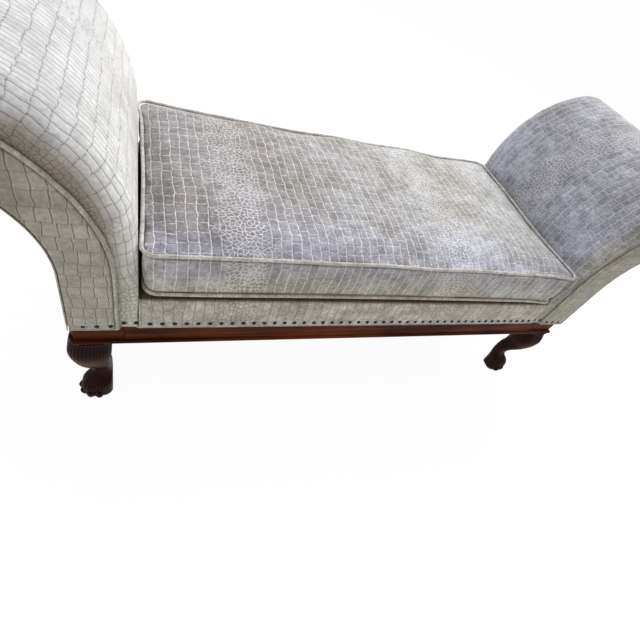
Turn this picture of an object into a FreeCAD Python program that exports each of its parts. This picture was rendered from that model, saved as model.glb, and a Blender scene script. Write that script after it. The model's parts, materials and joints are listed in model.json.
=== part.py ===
import FreeCAD, Part
import math
import os
from FreeCAD import Vector

# Bench settee: two scrolled arms, a loose box cushion, a show-wood frame on carved paw feet.
# Millimetres, +X along the seat, -Y to the front, +Z up, origin on the floor under the middle.

# Overall sizes
SEAT_LENGTH = 1144.0        # between the inside faces of the two arms
DEPTH = 604.0               # over the arm facings, front to rear
LEG_HEIGHT = 248.0          # floor to the underside of the rails

# Show-wood rails, corner blocks and bead
RAIL_SHOW = 55.0            # wood seen below the covers
RAIL_HEIGHT = 106.0         # whole rail, its top hidden by the covers
RAIL_THICKNESS = 36.0
RAIL_REBATE = 10.0          # step behind which the covers are tacked
FACING_PROUD = 8.0          # arm facings stand this far before the rails
BLOCK = 98.0                # side of a leg's square corner block
BLOCK_SETBACK = 4.0         # block faces lie behind the rail faces
BEAD_HEIGHT = 10.0
BEAD_PROUD = 6.0            # nose of the bead before the rail face
STRETCHER_THICKNESS = 32.0
STRETCHER_HEIGHT = 78.0
STRETCHER_DIP = 8.0         # hollow of its top edge under the webbing
DOWEL_DIAMETER = 10.0
DOWEL_LENGTH = 60.0
DOWEL_FIT = 0.1             # radial room in a dowel hole
DOWEL_END_ROOM = 1.0        # left at each end of a dowel for glue

# Carved legs, by their reach past the outer faces of the corner block
LEG_BACK = 78.0             # straight inner faces behind the block's outer faces
KNEE_TOP_REACH = 12.0       # where the knee meets the rails
KNEE_REACH = 15.0
ANKLE_REACH = -34.0
PAW_REACH = -6.0
SOLE_REACH = -11.0
LEG_PROFILE = (             # share of the way down from the rails, and reach
    (0.0, KNEE_TOP_REACH), (0.14, KNEE_REACH), (0.27, 13.0), (0.37, 5.0), (0.46, -8.0), (0.54, -23.0),
    (0.60, -31.0), (0.66, ANKLE_REACH), (0.72, -29.0), (0.79, -13.0), (0.86, PAW_REACH), (0.93, -6.5),
    (1.0, SOLE_REACH))
SOLE_TRIM = 4.0             # carved past the floor and cut flat
SHOULDER_WIDTH = 84.0       # swelling up the end of the corner block
SHOULDER_SETBACK = 5.0      # behind the block's long face
TOE_COUNT = 4
TOE_REACH = 27.0            # paw centre to the middle of a toe
TOE_LENGTH = 19.0           # half length, outwards
TOE_WIDTH = 13.0            # half width
TOE_RISE = 18.0             # half height
TOE_HEIGHT = 13.0           # middle of a toe above the floor
TOE_SPREAD = 34.0           # degrees between two toes
CORNER_SHARE = 0.36         # corner radius of the leg's section by its width

# Seat platform
WEB_WIDTH = 50.0
WEB_THICKNESS = 1.6
CROSS_WEBS = 8
LONG_WEBS = 3
HESSIAN = 1.2
DECK_HEIGHT = 37.0          # top of the rails to the top of the platform
DECK_EDGE = 20.0            # rounding of the platform's front and rear edges
BAND_SETBACK = 5.0          # seat band behind the arm facings
COVER = 2.0                 # velvet with its wadding
SEAT_END_ROOM = 3.0         # between the platform and each arm
DUST_COVER = 1.0

# Scrolled arms
PAD_BASE = 45.0             # padding inside the facing, at the seat
FACING_WIDTH = 85.0
SWEEP_RISE = 151.0          # show-wood to where the facing starts to sweep outwards
SWEEP_RADIUS = 221.5        # hollow outer edge of the facing
SWEEP_TURN = 66.2           # degrees that the facing turns before its round end
PAD_SWEEP_RISE = 220.0      # show-wood to where the padding starts to sweep outwards
ROLL_RADIUS = 106.0         # padded roll at the top of the arm
ROLL_END = -100.0           # direction, seen from the front, where the roll is tucked in
PAD_EDGE = 0.283 * ROLL_RADIUS  # rounding of the padding's front and rear edges
PAD_SETBACK = 8.5           # padding behind the facing's front
STUMP_THICKNESS = 25.0
FACING_THICKNESS = 8.0
FACING_EDGE = 2.5
PANEL_THICKNESS = 2.7
TACK_RAIL = 26.0
TACK_RAIL_HEIGHT = 36.0
PIPING_DIAMETER = 8.0

# Loose cushion
BORDER_HEIGHT = 102.0       # between the two pipings
CROWN = 15.0                # rise of the top above its seam
BELLY = 6.0                 # drop of the underside below its seam
CUSHION_ROOM = 6.0          # to each arm
CUSHION_SETBACK = 7.0       # behind the seat band
CUSHION_CORNER = 26.0
CUSHION_DRAW = 4.0          # each side is drawn in this far between its corners
BORDER_BULGE = 4.0
CUSHION_COVER = 1.6
ZIP_LENGTH = 860.0
ZIP_WIDTH = 26.0
ZIP_THICKNESS = 1.2
SLIDER_LENGTH = 9.0
SLIDER_HEIGHT = 11.0
SLIDER_THICKNESS = 4.0
PULL_LENGTH = 24.0
PULL_WIDTH = 6.0
PULL_THICKNESS = 1.6

# Nailheads
NAIL_DIAMETER = 10.0
NAIL_DOME = 3.2
NAIL_PITCH = 25.0
NAIL_RISE = 13.0            # nail line above the show-wood

# Clearances
SEAT_GAP = 0.3              # between a soft piece and what it lies on
TUCK = 2.0                  # room behind the arm padding for its hessian

# Levels
Z_SHOW = LEG_HEIGHT + RAIL_SHOW
Z_FRAME = LEG_HEIGHT + RAIL_HEIGHT
Z_COVER = Z_SHOW + SEAT_GAP
Z_DECK = Z_FRAME + DECK_HEIGHT
Z_LONG_WEB = Z_FRAME + WEB_THICKNESS + SEAT_GAP
Z_HESSIAN = Z_LONG_WEB + WEB_THICKNESS + SEAT_GAP
Z_STUFFING = Z_HESSIAN + HESSIAN + SEAT_GAP
Z_PAD_FOOT = Z_STUFFING + DECK_EDGE / 4
Z_NAIL = Z_SHOW + NAIL_RISE
Z_SWEEP = Z_SHOW + SWEEP_RISE
Z_PAD_SWEEP = Z_SHOW + PAD_SWEEP_RISE

# Planes along the length, for the right end
X_SEAT = SEAT_LENGTH / 2
X_STUMP = X_SEAT + PAD_BASE
X_END = X_STUMP + FACING_WIDTH
X_BLOCK = X_END - BLOCK_SETBACK
X_BLOCK_IN = X_BLOCK - BLOCK
X_END_RAIL_IN = X_END - RAIL_THICKNESS

# Planes across the depth, for the rear
Y_FACING = DEPTH / 2
Y_BAND = Y_FACING - BAND_SETBACK
Y_PAD = Y_FACING - PAD_SETBACK
Y_RAIL = Y_FACING - FACING_PROUD
Y_REBATE = Y_RAIL - RAIL_REBATE
Y_RAIL_IN = Y_RAIL - RAIL_THICKNESS
Y_BLOCK = Y_RAIL - BLOCK_SETBACK
Y_BLOCK_IN = Y_BLOCK - BLOCK
Y_LINING = Y_REBATE + SEAT_GAP
Y_STUMP = Y_FACING - FACING_THICKNESS - SEAT_GAP
Y_STUMP_IN = Y_STUMP - STUMP_THICKNESS

# Arm sweep: its centre, the centre of the roll and the padding's own sweep
SWEEP_CENTRE = (X_END + SWEEP_RADIUS, Z_SWEEP)
SWEEP_STOP = 180.0 - SWEEP_TURN
INNER_RADIUS = SWEEP_RADIUS + FACING_WIDTH
END_RADIUS = FACING_WIDTH / 2


def polar(centre, radius, degrees):
    """Point at a distance and direction from a centre."""
    turn = math.radians(degrees)
    return (centre[0] + radius * math.cos(turn), centre[1] + radius * math.sin(turn))


def direction(start, end):
    """Direction in degrees from one point to another."""
    return math.degrees(math.atan2(end[1] - start[1], end[0] - start[0]))


ROLL_CENTRE = polar(SWEEP_CENTRE, SWEEP_RADIUS + END_RADIUS, SWEEP_STOP)
ROLL_OUT = ROLL_CENTRE[0] - X_SEAT
ROLL_UP = ROLL_CENTRE[1] - Z_PAD_SWEEP
PAD_RADIUS = (ROLL_OUT ** 2 + ROLL_UP ** 2 - ROLL_RADIUS ** 2) / (2 * (ROLL_OUT - ROLL_RADIUS))
PAD_CENTRE = (X_SEAT + PAD_RADIUS, Z_PAD_SWEEP)
ROLL_START = direction(PAD_CENTRE, ROLL_CENTRE)
TUCK_POINT = polar(ROLL_CENTRE, ROLL_RADIUS, ROLL_END)
TUCK_TURN = direction(SWEEP_CENTRE, TUCK_POINT)

# Cushion planes
PIPING = PIPING_DIAMETER / 2
PIPING_STEP = 0.75 * PIPING             # piping centre outwards and up from its seam
CUSHION_X = X_SEAT - CUSHION_ROOM - PIPING - PIPING_STEP
CUSHION_Y = Y_BAND - CUSHION_SETBACK - PIPING - PIPING_STEP
Z_CUSHION = Z_DECK + SEAT_GAP + PIPING + PIPING_STEP
Z_CROWN = Z_CUSHION + BORDER_HEIGHT
Z_ZIP = Z_CUSHION + BORDER_HEIGHT / 2


def line(start, end, place):
    """Straight edge between two points of a profile."""
    return Part.LineSegment(place(*start), place(*end)).toShape()


def bow(start, middle, end, place):
    """Arc edge through three points of a profile."""
    return Part.Arc(place(*start), place(*middle), place(*end)).toShape()


def turn(centre, radius, start, end, place):
    """Arc edge about a centre, between two directions in degrees."""
    points = [polar(centre, radius, angle) for angle in (start, (start + end) / 2, end)]
    return bow(*points, place)


def on_front(x, z):
    """Place a profile point on the lengthwise upright plane."""
    return Vector(x, 0, z)


def on_side(y, z):
    """Place a profile point on the crosswise upright plane."""
    return Vector(0, y, z)


def on_plan(z):
    """Make a placer for profile points at one height."""
    return lambda x, y: Vector(x, y, z)


def prism(edges, start, end):
    """Solid made by running a closed profile between two offsets of its plane."""
    solid = Part.Face(Part.Wire(edges)).extrude(end - start)
    solid.translate(start)
    return solid


def polygon(points, place):
    """Closed run of straight edges."""
    return [line(points[i - 1], points[i], place) for i in range(len(points))]


def box(low, high):
    """Box between two corners."""
    return Part.makeBox(high[0] - low[0], high[1] - low[1], high[2] - low[2], Vector(*low))


def flip_x(shape):
    """Mirror image at the other end of the bench."""
    return shape.mirror(Vector(0, 0, 0), Vector(1, 0, 0))


def flip_y(shape):
    """Mirror image on the other long side."""
    return shape.mirror(Vector(0, 0, 0), Vector(0, 1, 0))


# Dowels and their holes

def dowel_places():
    """Middle point and direction of each dowel of the rails, front right quarter first."""
    low, high = LEG_HEIGHT + RAIL_HEIGHT / 4, LEG_HEIGHT + 3 * RAIL_HEIGHT / 4
    rail_y = (Y_REBATE + Y_RAIL_IN) / 2
    end_x = (X_END + X_END_RAIL_IN) / 2
    places = []
    for sx in (-1, 1):
        for sy in (-1, 1):
            for z in (low, high):
                places.append((Vector(sx * X_BLOCK_IN, sy * rail_y, z), Vector(1, 0, 0)))
                shifted = z - DOWEL_DIAMETER
                places.append((Vector(sx * end_x, sy * Y_BLOCK_IN, shifted), Vector(0, 1, 0)))
    for sy in (-1, 1):
        for z in (low, high - STRETCHER_DIP):
            places.append((Vector(0, sy * (Y_RAIL_IN - RAIL_REBATE), z), Vector(0, 1, 0)))
    return places


def stump_places():
    """Middle point and direction of the dowel under each arm stump."""
    x = (X_STUMP + X_BLOCK) / 2
    y = (Y_REBATE + Y_STUMP_IN) / 2
    return [(Vector(sx * x, sy * y, Z_FRAME), Vector(0, 0, 1)) for sx in (-1, 1) for sy in (-1, 1)]


def pin(place, radius, length):
    """Round pin centred on a place."""
    middle, way = place
    return Part.makeCylinder(radius, length, middle - way * (length / 2), way)


def dowels(places):
    """Group of dowels."""
    return Part.makeCompound([pin(place, DOWEL_DIAMETER / 2, DOWEL_LENGTH) for place in places])


def drilled(shape):
    """Shape with the holes of every dowel that enters it."""
    radius = DOWEL_DIAMETER / 2 + DOWEL_FIT
    length = DOWEL_LENGTH + 2 * DOWEL_END_ROOM
    for place in dowel_places() + stump_places():
        hole = pin(place, radius, length)
        if hole.BoundBox.intersect(shape.BoundBox):
            shape = shape.cut(hole)
    return shape


# Show-wood frame

def long_rail():
    """Front rail, stepped for the bead below and for the covers above."""
    z_bead = LEG_HEIGHT + BEAD_HEIGHT
    points = [(-Y_RAIL, z_bead), (-Y_RAIL, Z_SHOW), (-Y_REBATE, Z_SHOW), (-Y_REBATE, Z_FRAME)]
    points += [(-Y_RAIL_IN, Z_FRAME), (-Y_RAIL_IN, LEG_HEIGHT)]
    points += [(-Y_BLOCK, LEG_HEIGHT), (-Y_BLOCK, z_bead)]
    rail = prism(polygon(points, on_side), Vector(-X_BLOCK_IN, 0, 0), Vector(X_BLOCK_IN, 0, 0))
    return drilled(rail)


def end_rail():
    """Right end rail, stepped for the bead."""
    z_bead = LEG_HEIGHT + BEAD_HEIGHT
    points = [(X_END, z_bead), (X_END, Z_FRAME), (X_END_RAIL_IN, Z_FRAME)]
    points += [(X_END_RAIL_IN, LEG_HEIGHT), (X_BLOCK, LEG_HEIGHT), (X_BLOCK, z_bead)]
    rail = prism(polygon(points, on_front), Vector(0, -Y_BLOCK_IN, 0), Vector(0, Y_BLOCK_IN, 0))
    return drilled(rail)


def bead(back, place, half, way):
    """Half round bead against a plane, run both ways from the middle."""
    radius = BEAD_HEIGHT / 2
    nose = back + BLOCK_SETBACK + BEAD_PROUD
    low, high = LEG_HEIGHT, LEG_HEIGHT + BEAD_HEIGHT
    edges = [line((back, high), (back, low), place), line((back, low), (nose - radius, low), place)]
    edges.append(bow((nose - radius, low), (nose, low + radius), (nose - radius, high), place))
    edges.append(line((nose - radius, high), (back, high), place))
    return prism(edges, way * -half, way * half)


def stretcher():
    """Cross rail under the middle of the seat, hollowed along its top."""
    low = LEG_HEIGHT + RAIL_HEIGHT / 2 - STRETCHER_HEIGHT / 2
    high = low + STRETCHER_HEIGHT
    a, b = (-Y_RAIL_IN, low), (Y_RAIL_IN, low)
    c, d = (Y_RAIL_IN, high), (-Y_RAIL_IN, high)
    edges = [line(a, b, on_side), line(b, c, on_side)]
    edges.append(bow(c, (0, high - STRETCHER_DIP), d, on_side))
    edges.append(line(d, a, on_side))
    half = STRETCHER_THICKNESS / 2
    return drilled(prism(edges, Vector(-half, 0, 0), Vector(half, 0, 0)))


# Carved legs

def leg_section(z, reach, width, setback=0.0):
    """Rounded square section of the right rear leg, with its long face set back if asked."""
    radius = CORNER_SHARE * width
    x1, y1 = X_BLOCK + reach, Y_BLOCK + reach - setback
    x0, y0 = x1 - width, y1 - width
    corners = [((x1 - radius, y1 - radius), 0), ((x0 + radius, y1 - radius), 90)]
    corners += [((x0 + radius, y0 + radius), 180), ((x1 - radius, y0 + radius), 270)]
    place = on_plan(z)
    edges = []
    for i, (centre, start) in enumerate(corners):
        following, next_start = corners[(i + 1) % 4]
        edges.append(turn(centre, radius, start, start + 90, place))
        edges.append(line(polar(centre, radius, start + 90), polar(following, radius, next_start), place))
    return Part.Wire(edges)


def between(low, high, share):
    """Value part of the way from one number to another."""
    return low + (high - low) * share


def limb():
    """Knee, ankle and paw in one sweep from the rails to the floor."""
    sections = []
    for share, reach in LEG_PROFILE:
        z = between(LEG_HEIGHT - SEAT_GAP, -SOLE_TRIM, share)
        sections.append(leg_section(z, reach, LEG_BACK + reach))
    return Part.makeLoft(sections, True, False)


def shoulder():
    """Swelling that carries the knee up the end of the corner block."""
    sections = []
    for share in (0.0, 0.4, 0.8, 1.0):
        reach = KNEE_TOP_REACH * math.cos(math.radians(90 * share))
        z = between(LEG_HEIGHT - SEAT_GAP, Z_SHOW - SEAT_GAP, share)
        sections.append(leg_section(z, reach, SHOULDER_WIDTH, reach + SHOULDER_SETBACK))
    return Part.makeLoft(sections, True, False)


def toe(centre, heading):
    """One rounded toe pointing outwards from the paw's centre."""
    ball = Part.makeSphere(1.0)
    stretch = FreeCAD.Matrix()
    stretch.scale(TOE_LENGTH, TOE_WIDTH, TOE_RISE)
    ball = ball.transformGeometry(stretch)
    ball.rotate(Vector(0, 0, 0), Vector(0, 0, 1), heading)
    x, y = polar(centre, TOE_REACH, heading)
    ball.translate(Vector(x, y, TOE_HEIGHT))
    return ball


def leg():
    """Right rear leg: corner block, swelling knee, ankle and paw foot with toes."""
    block = box((X_BLOCK_IN, Y_BLOCK_IN, LEG_HEIGHT), (X_BLOCK, Y_BLOCK, Z_SHOW))
    post = box((X_BLOCK_IN, Y_BLOCK_IN, Z_SHOW), (X_BLOCK, Y_REBATE, Z_FRAME))
    inset = (LEG_BACK + KNEE_TOP_REACH) / 4
    low = (X_BLOCK - LEG_BACK + inset, Y_BLOCK - LEG_BACK + inset, LEG_HEIGHT - inset)
    heart = box(low, (X_BLOCK - inset, Y_BLOCK - inset, Z_SHOW))
    middle = (PAW_REACH - LEG_BACK) / 2
    centre = (X_BLOCK + middle, Y_BLOCK + middle)
    first = 45.0 - TOE_SPREAD * (TOE_COUNT - 1) / 2
    carved = limb().fuse([toe(centre, first + i * TOE_SPREAD) for i in range(TOE_COUNT)])
    below_floor = box((0, 0, -TOE_RISE), (X_END + BLOCK, Y_FACING + BLOCK, 0))
    solid = block.fuse([post, heart, shoulder(), carved.cut(below_floor)])
    return drilled(solid.removeSplitter()).Solids[0]


# Seat platform

def deck_outline(inset):
    """Front, top and rear run of the seat cover's outline."""
    y, top, edge = Y_BAND - inset, Z_DECK - inset, DECK_EDGE - inset
    foot = Z_COVER
    edges = [line((-y, foot), (-y, top - edge), on_side)]
    edges.append(turn((-y + edge, top - edge), edge, 180, 90, on_side))
    edges.append(line((-y + edge, top), (y - edge, top), on_side))
    edges.append(turn((y - edge, top - edge), edge, 90, 0, on_side))
    edges.append(line((y, top - edge), (y, foot), on_side))
    return edges


def seat_cover():
    """Velvet over the platform and down both long sides."""
    inner = deck_outline(COVER)
    outer = deck_outline(0)
    a, b = (-Y_BAND, Z_COVER), (-Y_BAND + COVER, Z_COVER)
    c, d = (Y_BAND - COVER, Z_COVER), (Y_BAND, Z_COVER)
    edges = outer + [line(d, c, on_side)] + inner + [line(b, a, on_side)]
    half = X_SEAT - SEAT_END_ROOM
    return prism(Part.__sortEdges__(edges), Vector(-half, 0, 0), Vector(half, 0, 0))


def seat_stuffing():
    """Stuffing on the hessian and before the rails."""
    y = Y_BAND - COVER
    points = [(y, Z_COVER), (Y_LINING, Z_COVER), (Y_LINING, Z_STUFFING)]
    points += [(-Y_LINING, Z_STUFFING), (-Y_LINING, Z_COVER), (-y, Z_COVER)]
    edges = deck_outline(COVER)
    edges += [line(points[i], points[i + 1], on_side) for i in range(len(points) - 1)]
    half = X_SEAT - SEAT_END_ROOM
    return prism(Part.__sortEdges__(edges), Vector(-half, 0, 0), Vector(half, 0, 0))


def cross_webbing():
    """Straps from the front rail to the rear rail."""
    pitch = SEAT_LENGTH / CROSS_WEBS
    straps = []
    for i in range(CROSS_WEBS):
        x = (i - (CROSS_WEBS - 1) / 2) * pitch
        low = (x - WEB_WIDTH / 2, -Y_REBATE, Z_FRAME)
        straps.append(box(low, (x + WEB_WIDTH / 2, Y_REBATE, Z_FRAME + WEB_THICKNESS)))
    return Part.makeCompound(straps)


def long_webbing():
    """Straps from end rail to end rail, over the cross straps."""
    pitch = 2 * Y_RAIL_IN / (LONG_WEBS + 1)
    straps = []
    for i in range(LONG_WEBS):
        y = (i - (LONG_WEBS - 1) / 2) * pitch
        low = (-X_BLOCK, y - WEB_WIDTH / 2, Z_LONG_WEB)
        straps.append(box(low, (X_BLOCK, y + WEB_WIDTH / 2, Z_LONG_WEB + WEB_THICKNESS)))
    return Part.makeCompound(straps)


def seat_hessian():
    """Cloth over the webbing."""
    x = X_SEAT - SEAT_END_ROOM
    return box((-x, -Y_REBATE, Z_HESSIAN), (x, Y_REBATE, Z_HESSIAN + HESSIAN))


def dust_cover():
    """Cloth under the rails, notched round the four knees."""
    low = LEG_HEIGHT - SEAT_GAP - DUST_COVER
    sheet = box((-X_BLOCK, -Y_REBATE, low), (X_BLOCK, Y_REBATE, low + DUST_COVER))
    for sx in (-1, 1):
        for sy in (-1, 1):
            xs, ys = sorted((sx * X_BLOCK_IN, sx * X_END)), sorted((sy * Y_BLOCK_IN, sy * Y_RAIL))
            sheet = sheet.cut(box((xs[0], ys[0], 0), (xs[1], ys[1], LEG_HEIGHT)))
    return sheet


# Scrolled arms, all for the right end

def facing_band(foot, y_low, y_high):
    """Constant band of the scroll with its round end, between two depths."""
    edges = [line((X_STUMP, foot), (X_STUMP, Z_SWEEP), on_front)]
    edges.append(turn(SWEEP_CENTRE, INNER_RADIUS, 180, SWEEP_STOP, on_front))
    edges.append(turn(ROLL_CENTRE, END_RADIUS, SWEEP_STOP, SWEEP_STOP - 90, on_front))
    edges.append(turn(ROLL_CENTRE, END_RADIUS, SWEEP_STOP - 90, SWEEP_STOP - 180, on_front))
    edges.append(turn(SWEEP_CENTRE, SWEEP_RADIUS, SWEEP_STOP, 180, on_front))
    edges.append(line((X_END, Z_SWEEP), (X_END, foot), on_front))
    edges.append(line((X_END, foot), (X_STUMP, foot), on_front))
    return prism(edges, Vector(0, y_low, 0), Vector(0, y_high, 0))


def stump():
    """Rear scroll board of the arm, lapped over the leg's block."""
    board = facing_band(Z_FRAME + SEAT_GAP, Y_STUMP_IN, Y_STUMP)
    lap = box((X_STUMP, Y_LINING, Z_COVER), (X_END, Y_STUMP, Z_FRAME + SEAT_GAP))
    return drilled(board.fuse(lap).removeSplitter())


def facing():
    """Rear padded facing board, with its outer arris rounded."""
    board = facing_band(Z_COVER, Y_STUMP + SEAT_GAP, Y_FACING)
    arris = [edge for edge in board.Edges if edge.BoundBox.YMin > Y_FACING - SEAT_GAP]
    return board.makeFillet(FACING_EDGE, arris)


def pad_form(inset):
    """Padding wrapped over the scroll, tucked under the roll, square at its foot and clear of the frame."""
    sweep, roll, face = PAD_RADIUS - inset, ROLL_RADIUS - inset, X_SEAT + inset
    middle = (ROLL_START + ROLL_END) / 2
    back, hollow, core = INNER_RADIUS + TUCK, SWEEP_RADIUS - TUCK, END_RADIUS + TUCK
    tuck = polar(ROLL_CENTRE, roll, ROLL_END)
    seam = polar(SWEEP_CENTRE, hollow, TUCK_TURN)
    y = Y_PAD - inset
    edges = [line((face, Z_COVER), (face, Z_PAD_SWEEP), on_front)]
    edges.append(turn(PAD_CENTRE, sweep, 180, ROLL_START, on_front))
    edges.append(turn(ROLL_CENTRE, roll, ROLL_START, middle, on_front))
    edges.append(turn(ROLL_CENTRE, roll, middle, ROLL_END, on_front))
    outer = len(edges)
    edges.append(line(tuck, seam, on_front))
    edges.append(turn(SWEEP_CENTRE, hollow, TUCK_TURN, SWEEP_STOP, on_front))
    edges.append(turn(ROLL_CENTRE, core, SWEEP_STOP - 180, SWEEP_STOP - 90, on_front))
    edges.append(turn(ROLL_CENTRE, core, SWEEP_STOP - 90, SWEEP_STOP, on_front))
    edges.append(turn(SWEEP_CENTRE, back, SWEEP_STOP, 180, on_front))
    edges.append(line((X_STUMP - TUCK, Z_SWEEP), (X_STUMP - TUCK, Z_COVER), on_front))
    edges.append(line((X_STUMP - TUCK, Z_COVER), (face, Z_COVER), on_front))
    solid = prism(edges, Vector(0, -y, 0), Vector(0, y, 0))
    rounded = []
    for edge in edges[:outer]:
        middle_point = edge.valueAt((edge.FirstParameter + edge.LastParameter) / 2)
        for side in (-y, y):
            spot = Part.Vertex(Vector(middle_point.x, side, middle_point.z))
            rounded += [e for e in solid.Edges if e.distToShape(spot)[0] < 1e-4]
    foot = box((face, -y, Z_COVER), (X_STUMP - TUCK, y, Z_DECK - DECK_EDGE))
    solid = solid.makeFillet(PAD_EDGE - inset, rounded).fuse(foot)
    frame = box((0, -Y_LINING, 0), (X_END, Y_LINING, Z_PAD_FOOT))
    return solid.cut(frame).removeSplitter().Solids[0]


def arm_hessian():
    """Cloth stretched over the inner edge of the arm frame, behind the padding."""
    near, far = INNER_RADIUS + SEAT_GAP, INNER_RADIUS + TUCK - SEAT_GAP
    foot = Z_PAD_FOOT
    x_near, x_far = X_STUMP - SEAT_GAP, X_STUMP - TUCK + SEAT_GAP
    edges = [line((x_near, foot), (x_near, Z_SWEEP), on_front)]
    edges.append(turn(SWEEP_CENTRE, near, 180, SWEEP_STOP, on_front))
    edges.append(line(polar(SWEEP_CENTRE, near, SWEEP_STOP), polar(SWEEP_CENTRE, far, SWEEP_STOP), on_front))
    edges.append(turn(SWEEP_CENTRE, far, SWEEP_STOP, 180, on_front))
    edges.append(line((x_far, Z_SWEEP), (x_far, foot), on_front))
    edges.append(line((x_far, foot), (x_near, foot), on_front))
    half = Y_PAD - COVER
    return prism(edges, Vector(0, -half, 0), Vector(0, half, 0))


def arm_piping():
    """Rear cord along the inner edge of the facing and round its end."""
    out = PIPING + SEAT_GAP
    x = X_STUMP - out
    start, bend = (x, Z_COVER), (x, Z_SWEEP)
    stop = SWEEP_STOP - 180
    middle = (SWEEP_STOP + stop) / 2
    edges = [line(start, bend, on_front)]
    edges.append(turn(SWEEP_CENTRE, INNER_RADIUS + out, 180, SWEEP_STOP, on_front))
    edges.append(turn(ROLL_CENTRE, END_RADIUS + out, SWEEP_STOP, middle, on_front))
    edges.append(turn(ROLL_CENTRE, END_RADIUS + out, middle, stop, on_front))
    ring = Part.Wire(Part.makeCircle(PIPING, Vector(x, 0, Z_COVER), Vector(0, 0, 1)))
    cord = Part.Wire(edges).makePipeShell([ring], True, False)
    cord.translate(Vector(0, Y_FACING - PIPING, 0))
    return cord


def outside_panel():
    """Covered board on the hollow outer side of the arm."""
    near, far = SWEEP_RADIUS - SEAT_GAP, SWEEP_RADIUS - SEAT_GAP - PANEL_THICKNESS
    x_near, x_far = X_END + SEAT_GAP, X_END + SEAT_GAP + PANEL_THICKNESS
    stop = TUCK_TURN + math.degrees(PANEL_THICKNESS / SWEEP_RADIUS)
    edges = [line((x_near, Z_COVER), (x_near, Z_SWEEP), on_front)]
    edges.append(turn(SWEEP_CENTRE, near, 180, stop, on_front))
    edges.append(line(polar(SWEEP_CENTRE, near, stop), polar(SWEEP_CENTRE, far, stop), on_front))
    edges.append(turn(SWEEP_CENTRE, far, stop, 180, on_front))
    edges.append(line((x_far, Z_SWEEP), (x_far, Z_COVER), on_front))
    edges.append(line((x_far, Z_COVER), (x_near, Z_COVER), on_front))
    return prism(edges, Vector(0, -Y_FACING, 0), Vector(0, Y_FACING, 0))


def roll_rail():
    """Round bar between the two scroll boards, under the roll."""
    half = Y_STUMP_IN - SEAT_GAP
    start = Vector(ROLL_CENTRE[0], -half, ROLL_CENTRE[1])
    return Part.makeCylinder(END_RADIUS, 2 * half, start, Vector(0, 1, 0))


def tacking_rails():
    """Lower inside rail and upper outside rail that the arm's cloths are tacked to."""
    half = Y_STUMP_IN - SEAT_GAP
    low = (X_STUMP + SEAT_GAP, -half, Z_PAD_FOOT)
    lower = box(low, (X_STUMP + TACK_RAIL, half, Z_PAD_FOOT + TACK_RAIL_HEIGHT))
    near, far = SWEEP_RADIUS + SEAT_GAP, SWEEP_RADIUS + TACK_RAIL
    spread = math.degrees(TACK_RAIL_HEIGHT / near)
    start, stop = TUCK_TURN, TUCK_TURN + spread
    edges = [turn(SWEEP_CENTRE, near, start, stop, on_front)]
    edges.append(line(polar(SWEEP_CENTRE, near, stop), polar(SWEEP_CENTRE, far, stop), on_front))
    edges.append(turn(SWEEP_CENTRE, far, stop, start, on_front))
    edges.append(line(polar(SWEEP_CENTRE, far, start), polar(SWEEP_CENTRE, near, start), on_front))
    upper = prism(edges, Vector(0, -half, 0), Vector(0, half, 0))
    return Part.makeCompound([lower, upper])


# Loose cushion

def pillow_sides(half_length, half_depth):
    """Radii of the drawn-in long and short sides of the cushion's outline."""
    long_radius = (half_length ** 2 + CUSHION_DRAW ** 2) / (2 * CUSHION_DRAW)
    short_radius = (half_depth ** 2 + CUSHION_DRAW ** 2) / (2 * CUSHION_DRAW)
    return long_radius, short_radius


def pillow_corner(half_length, half_depth, radius):
    """Centre of a rounded corner that meets both drawn-in sides smoothly."""
    long_radius, short_radius = pillow_sides(half_length, half_depth)
    a = (0.0, half_depth - CUSHION_DRAW + long_radius)
    b = (half_length - CUSHION_DRAW + short_radius, 0.0)
    ra, rb = long_radius + radius, short_radius + radius
    gap = math.dist(a, b)
    along = (gap ** 2 + ra ** 2 - rb ** 2) / (2 * gap)
    off = math.sqrt(ra ** 2 - along ** 2)
    ux, uy = (b[0] - a[0]) / gap, (b[1] - a[1]) / gap
    return (a[0] + ux * along - abs(uy) * off, a[1] + uy * along - ux * off)


def pillow_outline(half_length, half_depth, corner, z):
    """Closed outline of the cushion: four drawn-in sides and four round corners."""
    cx, cy = pillow_corner(half_length, half_depth, corner)
    long_radius, short_radius = pillow_sides(half_length, half_depth)
    long_centre = (0.0, half_depth - CUSHION_DRAW + long_radius)
    short_centre = (half_length - CUSHION_DRAW + short_radius, 0.0)
    to_long = direction((cx, cy), long_centre)
    to_short = direction((cx, cy), short_centre)
    side = polar((cx, cy), corner, to_long)
    end = polar((cx, cy), corner, to_short)
    elbow = polar((cx, cy), corner, (to_long + to_short) / 2)
    mid_side, mid_end = half_depth - CUSHION_DRAW, half_length - CUSHION_DRAW
    place = on_plan(z)
    edges = []
    for sx, sy in ((1, 1), (-1, 1), (-1, -1), (1, -1)):
        first, last = (end, side) if sx * sy > 0 else (side, end)
        arc = [(sx * p[0], sy * p[1]) for p in (first, elbow, last)]
        edges.append(bow(*arc, place))
        if sx * sy > 0:
            edges.append(bow(arc[2], (0, sy * mid_side), (-arc[2][0], arc[2][1]), place))
        else:
            edges.append(bow(arc[2], (sx * mid_end, 0), (arc[2][0], -arc[2][1]), place))
    return Part.Wire(edges)


def pillow_ring(inset, z):
    """Cushion outline drawn in by a distance, at one height."""
    corner = max(CUSHION_CORNER - inset, CUSHION_CORNER / 4)
    return pillow_outline(CUSHION_X - inset, CUSHION_Y - inset, corner, z)


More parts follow.
